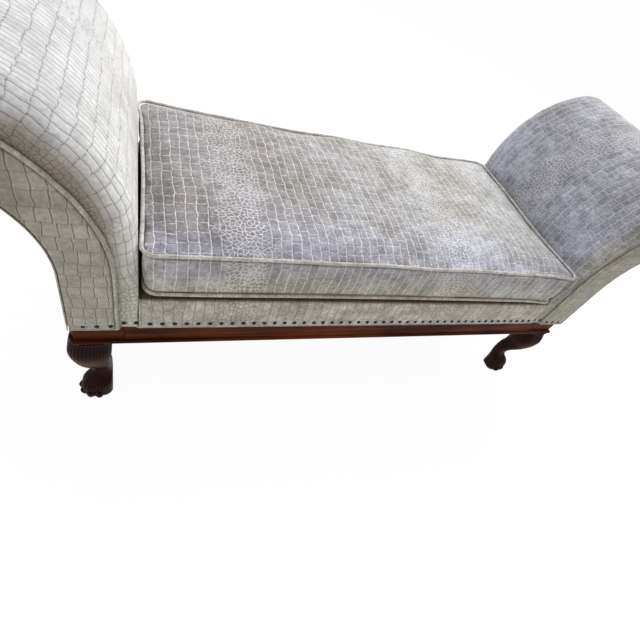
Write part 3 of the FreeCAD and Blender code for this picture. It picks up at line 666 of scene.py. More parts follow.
@dataclass(frozen=True)
class Mahogany:
    """Polished wood with a streaked figure, and on the beads a painted highlight along the nose."""

    name: str
    dark: Rgb
    light: Rgb
    grain: Grain
    roughness: float = 0.42
    polish: float = 0.02
    nose: float = 0.0
    painted_highlight: Rgb = (0.22, 0.075, 0.022)

    def make(self) -> bpy.types.Material:
        """Wire streaks, pores, a coat of polish and, on the beads, a painted highlight along the
        nose.

        Returns:
            The material.
        """
        kit = Palette(self.name)
        place = kit.scaled(kit.object_place(), self.grain.value)
        figure = kit.noise(place, 1.0, 6.0, 0.62).outputs[0]
        pores = kit.noise(kit.scaled(place, (6.0, 6.0, 6.0)), 1.0, 2.0, 0.6).outputs[0]
        colour = kit.mix(kit.span(figure, 0.34, 0.68, 0.0, 1.0), rgba(self.dark), rgba(self.light))
        blotch = kit.noise(kit.scaled(place, (4.0, 0.4, 0.4)), 1.0, 3.0, 0.6).outputs[0]
        colour = kit.tint(colour, kit.span(blotch, 0.3, 0.7, 0.72, 1.35))
        colour = kit.tint(colour, kit.span(pores, 0.3, 0.6, 0.72, 1.08))
        # Painted highlight: a warm line along the bead's nose, broken by the blotches.
        if self.nose:
            height = kit.axes(kit.object_place())[2]
            above = kit.math("ABSOLUTE", kit.math("SUBTRACT", height, self.nose))
            worn = kit.span(above, 0.0005, 0.0022, 1.0, 0.0)
            worn = kit.times(worn, kit.span(blotch, 0.3, 0.6, 0.3, 1.0))
            colour = kit.mix(worn, colour, rgba(self.painted_highlight))
        kit.bump(pores, 0.12, 0.0006)
        kit.surface(roughness=self.roughness, specular_ior_level=0.03)
        kit.surface(coat_weight=self.polish, coat_roughness=0.18)
        return kit.surface(base_color=colour)


@dataclass(frozen=True)
class CarvedMahogany:
    """Wood of the legs: polished block above, dark carving below, with a painted highlight on the
    ridges of the knee.
    """

    name: str
    block: Rgb
    hollow: Rgb
    ridge: Rgb
    painted_highlight: Rgb
    rail_foot: float

    def make(self) -> bpy.types.Material:
        """Wire the carving's own height and the height above the floor.

        Returns:
            The material.
        """
        kit = Palette(self.name)
        place = kit.object_place()
        height = kit.axes(place)[2]
        carve = kit.node("Attribute", attribute_name="carving").outputs["Fac"]
        highlight_share = kit.node("Attribute", attribute_name="highlight_share").outputs["Fac"]
        streak = kit.noise(kit.scaled(place, Grain.LENGTH.value), 1.0, 5.0, 0.6).outputs[0]
        patch = kit.noise(place, 42.0, 3.0, 0.6).outputs[0]
        wood = kit.mix(kit.span(carve, 0.15, 0.9, 0.0, 1.0), rgba(self.hollow), rgba(self.ridge))
        # Painted highlight on the ridges, where the leg's stored share marks it.
        painted_highlight = kit.times(highlight_share, kit.span(carve, 0.3, 0.9, 0.15, 1.0))
        wood = kit.mix(painted_highlight, wood, rgba(self.painted_highlight))
        wood = kit.tint(wood, kit.span(patch, 0.3, 0.7, 0.75, 1.2))
        block = kit.tint(self.block, kit.span(streak, 0.3, 0.7, 0.7, 1.3))
        is_block = kit.span(height, self.rail_foot - 0.002, self.rail_foot + 0.002, 0.0, 1.0)
        kit.bump(patch, 0.15, 0.0012)
        kit.surface(roughness=0.40, coat_weight=0.0, coat_roughness=0.2, specular_ior_level=0.05)
        return kit.surface(base_color=kit.mix(is_block, wood, block))


@dataclass(frozen=True)
class AgedMetal:
    """Bronzed metal with worn, uneven patina."""

    name: str
    dark: Rgb
    worn: Rgb
    roughness: float = 0.36

    def make(self) -> bpy.types.Material:
        """Wire a patina that breaks through in specks.

        Returns:
            The material.
        """
        kit = Palette(self.name)
        place = kit.object_place()
        specks = kit.noise(place, 330.0, 3.0, 0.6).outputs[0]
        colour = kit.mix(kit.span(specks, 0.52, 0.7, 0.0, 1.0), rgba(self.dark), rgba(self.worn))
        kit.bump(specks, 0.15, 0.0004)
        least, most = self.roughness - 0.08, self.roughness + 0.14
        kit.surface(roughness=kit.span(specks, 0.3, 0.7, least, most))
        return kit.surface(base_color=colour, metallic=0.9)


@dataclass(frozen=True)
class PlainWeave:
    """Unseen cloths: webbing, hessian, tape, stuffing and the cloth under the seat."""

    name: str
    warp: Rgb
    weft: Rgb
    pitch: float

    def make(self) -> bpy.types.Material:
        """Wire an over and under weave.

        Returns:
            The material.
        """
        kit = Palette(self.name)
        place = kit.object_place()
        scaled = kit.scaled(place, (1 / self.pitch,) * 3)
        check = kit.node("TexChecker", {"Vector": scaled, "Scale": 1.0}).outputs["Fac"]
        slub = kit.noise(place, 60.0, 3.0, 0.6).outputs[0]
        colour = kit.mix(check, rgba(self.warp), rgba(self.weft))
        colour = kit.tint(colour, kit.span(slub, 0.3, 0.7, 0.8, 1.15))
        kit.bump(kit.math("ADD", check, slub), 0.3, 0.0006)
        kit.surface(roughness=0.9, specular_ior_level=0.15)
        return kit.surface(base_color=colour)


# Outlines on the upright lengthwise plane

@dataclass(frozen=True)
class Straight:
    """Straight run of an outline, with the way into the padding."""

    start: Point
    end: Point
    inward: Point

    @property
    def length(self) -> float:
        """Length of the run."""
        return math.dist(self.start, self.end)

    def at(self, share: Array, inset: Array) -> Array:
        """Give points by their share of the run and their depth in the padding."""
        start, end, inward = (np.array(p) for p in (self.start, self.end, self.inward))
        return start + share[:, None] * (end - start) + inset[:, None] * inward


@dataclass(frozen=True)
class Bend:
    """Round run of an outline about a centre, between two directions in degrees."""

    centre: Point
    radius: float
    start: float
    end: float

    @property
    def length(self) -> float:
        """Length of the run."""
        return abs(math.radians(self.end - self.start)) * self.radius

    def at(self, share: Array, inset: Array) -> Array:
        """Give points by their share of the run and their depth in the padding.

        Args:
            share: shares of the run, from 0 to 1.
            inset: depths in the padding.

        Returns:
            Rows of x and z.
        """
        angle = np.radians(self.start + share * (self.end - self.start))
        reach = self.radius - inset
        return np.c_[self.centre[0] + reach * np.cos(angle), self.centre[1] + reach * np.sin(angle)]


@dataclass(frozen=True)
class Outline:
    """Straights and bends, one after another."""

    runs: Tuple[Any, ...]

    @property
    def length(self) -> float:
        """Length of the whole outline."""
        return sum(run.length for run in self.runs)

    def at(self, along: Array, inset: Array) -> Array:
        """Give points on the outline.

        Args:
            along: distances from the start.
            inset: depths in the padding.

        Returns:
            Rows of x and z.
        """
        points = np.zeros((len(along), 2))
        begin = 0.0
        for number, run in enumerate(self.runs):
            last = number == len(self.runs) - 1
            here = (along >= begin - 1e-9) & ((along < begin + run.length) | last)
            points[here] = run.at((along[here] - begin) / run.length, inset[here])
            begin += run.length
        return points


def stand(plan: Array, depth: Array, side: int) -> Array:
    """Stand outline points up at a depth, at the right end or mirrored to the left."""
    return np.c_[side * plan[:, 0], depth, plan[:, 1]]


# Arms

@dataclass
class ScrollArm:
    """One padded arm that scrolls outwards, with its facings, piping and outside panel."""

    side: int
    inside_velvet: bpy.types.Material
    facing_velvet: bpy.types.Material
    cord_velvet: bpy.types.Material
    pad_sweep_rise: float = 0.220
    sweep_rise: float = 0.151
    sweep_radius: float = 0.2215
    tuck: float = -100.0
    end_fold: float = 0.055
    bullnose: float = 0.046
    square_edge: float = 0.004
    square_rise: float = 0.075
    swell_rise: float = 0.110
    facing_edge: float = 0.004
    facing_puff: float = 0.0025
    facing_corner: float = 0.011
    puff_reach: float = 0.016
    facing_ripple: float = 0.0005
    cord_gap: float = 0.0003
    panel_rise: float = 0.0034
    panel_edge: float = 0.006
    panel_gap: float = 0.0004
    show_rise: float = 0.055
    flat_share: float = 0.5
    nose_share: float = 0.32
    pad_sag: float = 0.0012
    pad_dimple: float = 0.0005
    pad_gap: float = 0.0002
    least_reach: float = 0.005
    most_reach: float = 0.12
    tip_crowding: float = 0.12
    cord_waver: float = 0.0005
    inside_rise: float = 0.25
    reach_steps: int = 14
    cord_steps: int = 220
    pad_columns: int = 190
    pad_rows: int = 150
    facing_columns: int = 40
    facing_rows: int = 120
    panel_columns: int = 90
    panel_rows: int = 60

    def __post_init__(self) -> None:
        """Read the arm's sizes from the frame."""
        self.hand = "right" if self.side > 0 else "left"
        pad_low, pad_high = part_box("right_arm_cover")
        rail_low, rail_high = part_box("right_roll_rail")
        face_low, face_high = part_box("right_front_facing")
        cord_low, cord_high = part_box("right_front_arm_piping")
        self.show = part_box("front_rail")[0][2] + self.show_rise
        self.foot = pad_low[2]
        self.seat = pad_low[0]
        self.half_depth = pad_high[1]
        self.inner = face_low[0]
        self.half = (rail_high[0] - rail_low[0]) / 2
        self.centre = ((rail_low[0] + rail_high[0]) / 2, (rail_low[2] + rail_high[2]) / 2)
        self.roll = pad_high[0] - self.centre[0]
        self.front = -face_low[1]
        self.back = -face_high[1]
        self.cord = (cord_high[1] - cord_low[1]) / 2
        self.outer = self.inner + 2 * self.half
        self.sweep_height = self.show + self.sweep_rise
        self.sweep = (self.outer + self.sweep_radius, self.sweep_height)
        across, up = (self.centre[axis] - self.sweep[axis] for axis in (0, 1))
        self.stop = math.degrees(math.atan2(up, across))
        self.pad_height = self.show + self.pad_sweep_rise

    def pad_outline(self) -> Outline:
        """Inside of the arm from the seat over the roll to its tuck.

        Returns:
            The outline, with depths measured into the padding.
        """
        out, up = self.centre[0] - self.seat, self.centre[1] - self.pad_height
        radius = (out ** 2 + up ** 2 - self.roll ** 2) / (2 * (out - self.roll))
        middle = (self.seat + radius, self.pad_height)
        start = math.degrees(math.atan2(self.centre[1] - middle[1], self.centre[0] - middle[0]))
        rise = Straight((self.seat, self.foot), (self.seat, self.pad_height), (1.0, 0.0))
        bend = Bend(middle, radius, 180.0, start)
        return Outline((rise, bend, Bend(self.centre, self.roll, start, self.tuck)))

    def cord_room(self, plan: Array) -> Array:
        """Distance from points beside the facing to its inner edge.

        Args:
            plan: rows of x and z.

        Returns:
            One distance per row.
        """
        out = plan - np.array(self.sweep)
        reach = np.hypot(out[:, 0], out[:, 1])
        turn = np.degrees(np.arctan2(out[:, 1], out[:, 0]))
        bend = reach - self.sweep_radius - 2 * self.half
        curl = np.hypot(plan[:, 0] - self.centre[0], plan[:, 1] - self.centre[1]) - self.half
        room = np.where((turn > self.stop) & (reach > self.sweep_radius + self.half), bend, curl)
        return np.where(plan[:, 1] < self.sweep_height, self.inner - plan[:, 0], room)

    def pad_reach(self, outline: Outline, run: Array) -> Array:
        """Depth of the padding between its cover and the middle of the piping.

        Args:
            outline: inside of the arm.
            run: distances along it.

        Returns:
            One depth per distance.
        """
        reach = np.full(len(run), self.bullnose)
        for _ in range(self.reach_steps):
            reach = reach + self.cord_room(outline.at(run, reach)) - self.cord
            reach = np.clip(reach, self.least_reach, self.most_reach)
        return reach

    def pad_section(self, across: Array, run: Array, reach: Array) -> Tuple[Array, Array, Array]:
        """Section of the padding from front piping to rear piping.

        Args:
            across: shares of the way from front to rear.
            run: distances along the outline.
            reach: depths of the padding at the piping.

        Returns:
            Depth in the padding, place front to rear, and distance along the cloth.
        """
        side, share = np.sign(across - 0.5), np.abs(across - 0.5) * 2
        swell = ramp(run - self.square_rise, self.swell_rise)
        swell = swell ** 2 * (3 - 2 * swell)
        nose = np.minimum(self.square_edge + (self.bullnose - self.square_edge) * swell, reach)
        face_start = self.flat_share + self.nose_share
        flat = ramp(share, self.flat_share) * (self.half_depth - nose)
        angle = ramp(share - self.flat_share, self.nose_share) * math.pi / 2
        face = ramp(share - face_start, 1.0 - face_start) * (reach - nose)
        inset = nose * (1 - np.cos(angle)) + face
        return inset, side * (flat + nose * np.sin(angle)), side * (flat + nose * angle + face)

    def pad(self) -> bpy.types.Object:
        """Velvet over the arm's padding.

        Returns:
            The piece.
        """
        outline = self.pad_outline()

        def place(across: Array, along: Array) -> Tuple[Array, Array]:
            """Shape the flat grid.

            Args:
                across: shares of the grid's width.
                along: shares of its length.

            Returns:
                Points, and their places on the cloth.
            """
            total = along * (outline.length + self.end_fold)
            run = np.minimum(total, outline.length)
            folded = ramp(total - outline.length, self.end_fold)
            reach = self.pad_reach(outline, run)
            inset, depth, length = self.pad_section(across, run, reach)
            flat = np.c_[run, depth, inset]
            inset = inset + self.pad_sag * ripple(flat, 0.24, 1.0 + self.side)
            inset = inset + self.pad_dimple * ripple(flat, 0.06, 2.0)
            inset = np.clip(inset, self.pad_gap, None)
            plan = outline.at(run, inset + folded * np.clip(reach - inset, 0.0, None))
            return stand(plan, depth, self.side), np.c_[length, total]

        piece = shaped_grid(f"{self.hand}_arm_velvet", self.pad_rows, self.pad_columns, place)
        weld(piece, MERGE)
        face_out(piece, (self.side * (self.inner + self.half), 0.0, self.foot + self.inside_rise))
        thicken(piece, CLOTH_THICKNESS)
        nodes = (f"{self.hand}_arm_cover", f"{self.hand}_arm_stuffing")
        return set_out(piece, Body.BENCH, self.inside_velvet, nodes)

    def facing_outline(self) -> Outline:
        """Middle line of the facing from its foot to the tip of its round end.

        Returns:
            The outline, with depths measured across the facing.
        """
        middle = self.inner + self.half
        turn = math.radians(self.stop)
        across, up = self.centre
        tip = (across + self.half * math.sin(turn), up - self.half * math.cos(turn))
        rise = Straight((middle, self.foot), (middle, self.sweep_height), (1.0, 0.0))
        bend = Bend(self.sweep, self.sweep_radius + self.half, 180.0, self.stop)
        cap = Straight(self.centre, tip, (-math.cos(turn), -math.sin(turn)))
        return Outline((rise, bend, cap))

    def facing(self, end: int) -> bpy.types.Object:
        """Velvet facing on one end of the scroll.

        Args:
            end: -1 for the front and 1 for the rear.

        Returns:
            The piece.
        """
        outline = self.facing_outline()
        cap_start = outline.length - self.half

        def place(across: Array, along: Array) -> Tuple[Array, Array]:
            """Shape the flat grid.

            Args:
                across: shares of the grid's width.
                along: shares of its length.

            Returns:
                Points, and their places on the cloth.
            """
            crowded = self.tip_crowding * (np.sin(along * math.pi / 2) - along)
            run = np.clip((crowded + along) * outline.length, 0.0, outline.length)
            beyond = np.clip(run - cap_start, 0.0, self.half)
            width = np.sqrt(np.clip(self.half ** 2 - beyond ** 2, 1e-10, None))
            low = np.clip(self.facing_corner - run, 0.0, None)
            trim = self.facing_corner - np.sqrt(self.facing_corner ** 2 - low ** 2)
            spread = np.sin((across - 0.5) * math.pi)
            offset = -width + (2 * width - trim) * (spread + 1) / 2
            near = np.minimum(offset + width, width - trim - offset)
            near = np.where(beyond > 0, self.half - np.hypot(offset, beyond), np.minimum(near, run))
            near = np.clip(near, 0.0, None)
            round_off = np.sqrt(1 - (1 - ramp(near, self.facing_edge)) ** 2)
            puff = self.facing_puff * (1 - np.exp(-near / self.puff_reach))
            plan = outline.at(run, offset)
            depth = self.back + (self.front - self.back - self.facing_ripple) * round_off + puff
            uneven = ripple(np.c_[plan, plan[:, 0]], 0.11, 3.0 * end)
            depth = depth + self.facing_ripple * round_off * uneven
            return stand(plan, end * depth, self.side), plan

        face = "front" if end < 0 else "rear"
        piece = shaped_grid(f"{self.hand}_{face}_facing_velvet",
                            self.facing_columns, self.facing_rows, place)
        weld(piece, MERGE)
        face_out(piece, (self.side * (self.inner + self.half), 0.0, self.foot + self.inside_rise))
        thicken(piece, CLOTH_THICKNESS)
        node = f"{self.hand}_{face}_facing"
        return set_out(piece, Body.BENCH, self.facing_velvet, (node,))

    def piping(self, end: int) -> bpy.types.Object:
        """Cord along the inner edge of one facing.

        Args:
            end: -1 for the front and 1 for the rear.

        Returns:
            The piece.
        """
        out = self.half + self.cord + self.cord_gap
        line = self.inner - out + self.half
        rise = Straight((line, self.foot), (line, self.sweep_height), (1.0, 0.0))
        bend = Bend(self.sweep, self.sweep_radius + self.half + out, 180.0, self.stop)
        curl = Bend(self.centre, out, self.stop, self.stop - 180.0)
        outline = Outline((rise, bend, curl))
        run = np.linspace(0.0, outline.length, self.cord_steps)
        plan = outline.at(run, np.zeros(len(run)))
        depth = np.full(len(run), end * (self.front - self.cord))
        path = stand(plan, depth, self.side)
        waves = [ripple(path, *wave) for wave in ((0.09, 1.0), (0.11, 2.0), (0.10, 3.0))]
        path += self.cord_waver * np.c_[tuple(waves)]
        face = "front" if end < 0 else "rear"
        piece = tube(f"{self.hand}_{face}_piping_cord", path, self.cord, False)
        node = f"{self.hand}_{face}_arm_piping"
        return set_out(piece, Body.BENCH, self.cord_velvet, (node,))

    def panel(self) -> bpy.types.Object:
        """Velvet panel on the hollow outer side.

        Returns:
            The piece.
        """
        rise = Straight((self.outer, self.foot), (self.outer, self.sweep_height), (1.0, 0.0))
        outline = Outline((rise, Bend(self.sweep, self.sweep_radius, 180.0, self.stop)))
        half = self.front

        def place(across: Array, along: Array) -> Tuple[Array, Array]:
            """Shape the flat grid.

            Args:
                across: shares of the grid's width.
                along: shares of its length.

            Returns:
                Points, and their places on the cloth.
            """
            depth = np.sin((across - 0.5) * math.pi) * half
            run = along * outline.length
            edge = ramp(half - np.abs(depth), self.panel_edge)
            rise_out = self.panel_rise * np.sqrt(1 - (1 - edge) ** 2)
            plan = outline.at(run, rise_out + self.panel_gap)
            return stand(plan, depth, self.side), np.c_[depth, run]

        piece = shaped_grid(f"{self.hand}_outside_velvet", self.panel_columns, self.panel_rows, place)
        face_out(piece, (0.0, 0.0, self.foot))
        thicken(piece, CLOTH_THICKNESS)
        outline.length
        node = f"{self.hand}_outside_panel"
        return set_out(piece, Body.BENCH, self.facing_velvet, (node,))

    def build(self) -> None:
        """Make every soft piece of the arm."""
        self.pad()
        self.panel()
        for end in (-1, 1):
            self.facing(end)
            self.piping(end)


# Seat

@dataclass
class SeatPlatform:
    """Covered platform with its bands, and the folded hems under the nails."""

    velvet: bpy.types.Material
    cord_velvet: bpy.types.Material
    edge: float = 0.024
    end_swell: float = 0.0027
    swell: float = 0.0010
    setback: float = 0.0006
    end_crowding: float = 0.35
    hem: float = 0.0022
    hem_end: float = 0.003
    hem_slope: float = 0.006
    facing_lead: float = 0.010
    hem_sunk: float = 0.7
    hem_raised: float = 0.2
    hem_waver: float = 0.0004
    hem_steps: int = 240
    columns: int = 190
    rows: int = 130

    def __post_init__(self) -> None:
        """Read the platform's sizes from the frame."""
        low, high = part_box("seat_cover")
        self.half_length, self.half_depth = high[0] + self.end_swell, high[1]
        self.foot, self.top = low[2], high[2]

    def cover(self) -> bpy.types.Object:
        """Velvet from the front rail over the platform to the rear rail.

        Returns:
            The piece.
        """
        rise = self.top - self.edge - self.foot
        bend = math.pi / 2 * self.edge
        half = self.half_depth - self.edge
        total = 2 * (rise + bend + half)

        def place(across: Array, along: Array) -> Tuple[Array, Array]:
            """Shape the flat grid.

            Args:
                across: shares of the grid's width.
                along: shares of its length.

            Returns:
                Points, and their places on the cloth.
            """
            even = (across - 0.5) * 2
            x = even + self.end_crowding * (np.sin(even * math.pi / 2) - even)
            x = x / np.abs(x).max() * self.half_length
            run = (along - 0.5) * total
            beyond = np.clip((np.abs(run) - half) / self.edge, 0.0, math.pi / 2)
            drop = np.clip(np.abs(run) - half - bend, 0.0, None)
            y = np.sign(run) * (np.clip(np.abs(run), 0.0, half) + self.edge * np.sin(beyond))
            z = self.top - self.edge * (1 - np.cos(beyond)) - drop
            flat = np.c_[x, y, z]
            swell = self.swell * ripple(flat, 0.16, 4.0) * np.sin(ramp(drop, rise) * math.pi)
            y = y + np.sign(run) * (swell - self.setback)
            return np.c_[x, y, z], np.c_[x, run]

        piece = shaped_grid("seat_velvet", self.columns, self.rows, place)
        face_out(piece, (0.0, 0.0, self.foot))
        thicken(piece, CLOTH_THICKNESS)
        return set_out(piece, Body.BENCH, self.velvet, ("seat_cover", "seat_stuffing"))

    def hems(self) -> None:
        """Folded edges of the covers, lying on the wood below the nails."""
        inner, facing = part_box("right_front_facing")[0][:2]
        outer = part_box("right_end_rail")[1][0]
        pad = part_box("right_arm_cover")[1][1]
        seat_end = self.half_length
        steps = (0.0, seat_end, seat_end + self.hem_slope,
                 inner - self.facing_lead, inner - self.hem_slope, outer)
        depths = (self.half_depth, self.half_depth, pad, pad, -facing, -facing)
        reach = np.linspace(0.0, outer - self.hem_end, self.hem_steps)
        levels = np.interp(reach, steps, depths)
        x = np.r_[-reach[::-1], reach[1:]]
        level = np.r_[levels[::-1], levels[1:]] - self.hem * self.hem_sunk
        for end, name in ((-1, "front"), (1, "rear")):
            z = np.full(len(x), self.foot + self.hem * self.hem_raised)
            path = np.c_[x, end * level, z]
            path[:, 2] += self.hem_waver * ripple(path, 0.08, 6.0)
            piece = tube(f"{name}_hem", path, self.hem, False, 2)
            set_out(piece, Body.BENCH, self.cord_velvet)

    def build(self) -> None:
        """Make the platform's cover and hems."""
        self.cover()
        self.hems()


@dataclass
class BottomCloth:
    """Black cloth stretched under the rails, cut out round the four knees."""

    cloth: bpy.types.Material
    thickness: float = 0.0008
    sag: float = 0.004
    unevenness: float = 0.0012
    columns: int = 80
    rows: int = 40
    notch_share: float = 0.1

    def __post_init__(self) -> None:
        """Read the cloth's outline and notches from the frame."""
        outline = np.abs(read_points(frame["nodes"]["dust_cover"]))
        self.notch_x, self.notch_y = (float(axis.round(5).min()) for axis in outline.T[:2])
        self.half_length, self.half_depth = (float(axis.round(5).max()) for axis in outline.T[:2])
        self.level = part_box("dust_cover")[1][2]

    def build(self) -> bpy.types.Object:
        """Stretch the cloth, cut its corners and give it its thickness.

        Returns:
            The piece.
        """
        shares = (0.0, self.notch_share, 1.0 - self.notch_share, 1.0)
        x_stops = (-self.half_length, -self.notch_x, self.notch_x, self.half_length)
        y_stops = (-self.half_depth, -self.notch_y, self.notch_y, self.half_depth)

        def place(across: Array, along: Array) -> Tuple[Array, Array]:
            """Shape the flat grid.

            Args:
                across: shares of the grid's width.
                along: shares of its length.

            Returns:
                Points, and their places on the cloth.
            """
            x, y = np.interp(across, shares, x_stops), np.interp(along, shares, y_stops)
            hang = np.cos(x / self.half_length * math.pi / 2)
            hang = hang * np.cos(y / self.half_depth * math.pi / 2)
            flat = np.c_[x, y, np.full(len(x), self.level)]
            flat[:, 2] -= hang * (self.sag + self.unevenness * ripple(flat, 0.14, 5.0))
            return flat, np.c_[x, y]

        piece = shaped_grid("bottom_cloth_sheet", self.columns, self.rows, place)
        bpy.ops.object.mode_set(mode="EDIT")
        bpy.ops.mesh.select_mode(type="FACE")
        bpy.ops.mesh.select_all(action="DESELECT")
        bpy.ops.object.mode_set(mode="OBJECT")
        for face in piece.data.polygons:
            face.select = abs(face.center.x) > self.notch_x and abs(face.center.y) > self.notch_y
        bpy.ops.object.mode_set(mode="EDIT")
        bpy.ops.mesh.delete(type="FACE")
        bpy.ops.object.mode_set(mode="OBJECT")
        face_out(piece, (0.0, 0.0, 2 * self.level))
        thicken(piece, self.thickness)
        return set_out(piece, Body.BENCH, self.cloth, ("dust_cover",))


@dataclass
class BackZip:
    """Closed zip along the rear border: a woven tape with a row of teeth."""

    tape_cloth: bpy.types.Material
    metal: bpy.types.Material
    node: str = "zip_tape"
    node_thickness: float = 0.0012
    tape_thickness: float = 0.0005
    tooth: Tuple[float, float, float] = (0.0017, 0.0010, 0.0052)
    pitch: float = 0.0025
    stagger: float = 0.0006
    tooth_bevel: float = 0.0004
    tooth_lift: float = 0.0002
    end_room: float = 0.006
    seat: float = 0.022
    swell_room: float = 0.010
    cloth_gap: float = 0.0004
    pucker: float = 0.0002
    stitch: float = 0.011
    tape_columns: int = 430
    tape_rows: int = 14

    def __post_init__(self) -> None:
        """Read the tape's place from the frame."""
        low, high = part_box(self.node)
        self.half_length = high[0]
        self.low, self.high = low[2], high[2]
        self.middle = (self.low + self.high) / 2
        self.level = low[1]
        self.bow = high[1] - low[1] - self.node_thickness

    def lies_at(self, x: Array) -> Array:
        """Depth of the tape's inner face along the border."""
        return self.level + self.bow * (x / self.half_length) ** 2

    def press(self, points: Array) -> Array:
        """Hold the border's cloth back behind the tape that is sewn to it.

        Args:
            points: rows of x, y and z.

        Returns:
            The same rows, held back where the tape lies.
        """
        half_width = (self.high - self.low) / 2
        across = ramp(np.abs(points[:, 2] - self.middle) - half_width, self.seat)
        along = ramp(np.abs(points[:, 0]) - self.half_length, 2 * self.seat)
        room = self.swell_room * np.maximum(across, along) ** 1.5 - self.cloth_gap
        limit = np.where(points[:, 1] > 0, self.lies_at(points[:, 0]) + room, points[:, 1])
        near = (across < 1) & (along < 1)
        held = points.copy()
        held[near, 1] = np.minimum(points[near, 1], limit[near])
        return held

    def tape(self) -> bpy.types.Object:
        """Woven tape, a little puckered along its stitched edges.

        Returns:
            The piece.
        """

        def place(across: Array, along: Array) -> Tuple[Array, Array]:
            """Shape the flat grid.

            Args:
                across: shares of the grid's width.
                along: shares of its length.

            Returns:
                Points, and their places on the cloth.
            """
            x = (across - 0.5) * 2 * self.half_length
            z = self.low + along * (self.high - self.low)
            pucker = self.pucker * np.sin(x * 2 * math.pi / self.stitch)
            pucker = pucker * (2 * np.abs(along - 0.5)) ** 4
            y = self.lies_at(x) + self.tape_thickness + pucker
            return np.c_[x, y, z], np.c_[x, z]

        piece = shaped_grid("zip_tape_cloth", self.tape_columns, self.tape_rows, place)
        face_out(piece, (0.0, 0.0, self.middle))
        thicken(piece, self.tape_thickness)
        return set_out(piece, Body.CUSHION, self.tape_cloth, (self.node,))

    def teeth(self) -> bpy.types.Object:
        """Meshed teeth, one modelled and repeated along the tape.

        Returns:
            The piece.
        """
        start = -self.half_length + self.end_room
        count = int(2 * (self.half_length - self.end_room) / self.pitch)
        clear_selection()
        bpy.ops.mesh.primitive_cube_add(size=1.0, location=(start, 0.0, 0.0))
        piece = bpy.context.object
        piece.name = piece.data.name = "zip_teeth"
        piece.scale = self.tooth
        bpy.ops.object.transform_apply(location=True, rotation=True, scale=True)
        apply_modifier(piece, "BEVEL", width=self.tooth_bevel, segments=1)
        apply_modifier(piece, "ARRAY", count=count, use_relative_offset=False,
                       use_constant_offset=True, constant_offset_displace=(self.pitch, 0.0, 0.0))
        points = read_points(piece)
        order = np.rint((points[:, 0] - start) / self.pitch)
        points[:, 1] += self.lies_at(start + order * self.pitch) + self.tooth[1] / 2 + self.tooth_lift
        points[:, 2] += self.middle + self.stagger * (2 * (order % 2) - 1)
        write_points(piece, points)
        smooth(piece, 30.0)
        return set_out(piece, Body.CUSHION, self.metal)

    def build(self) -> None:
        """Make the tape and its teeth."""
        self.tape()
        self.teeth()


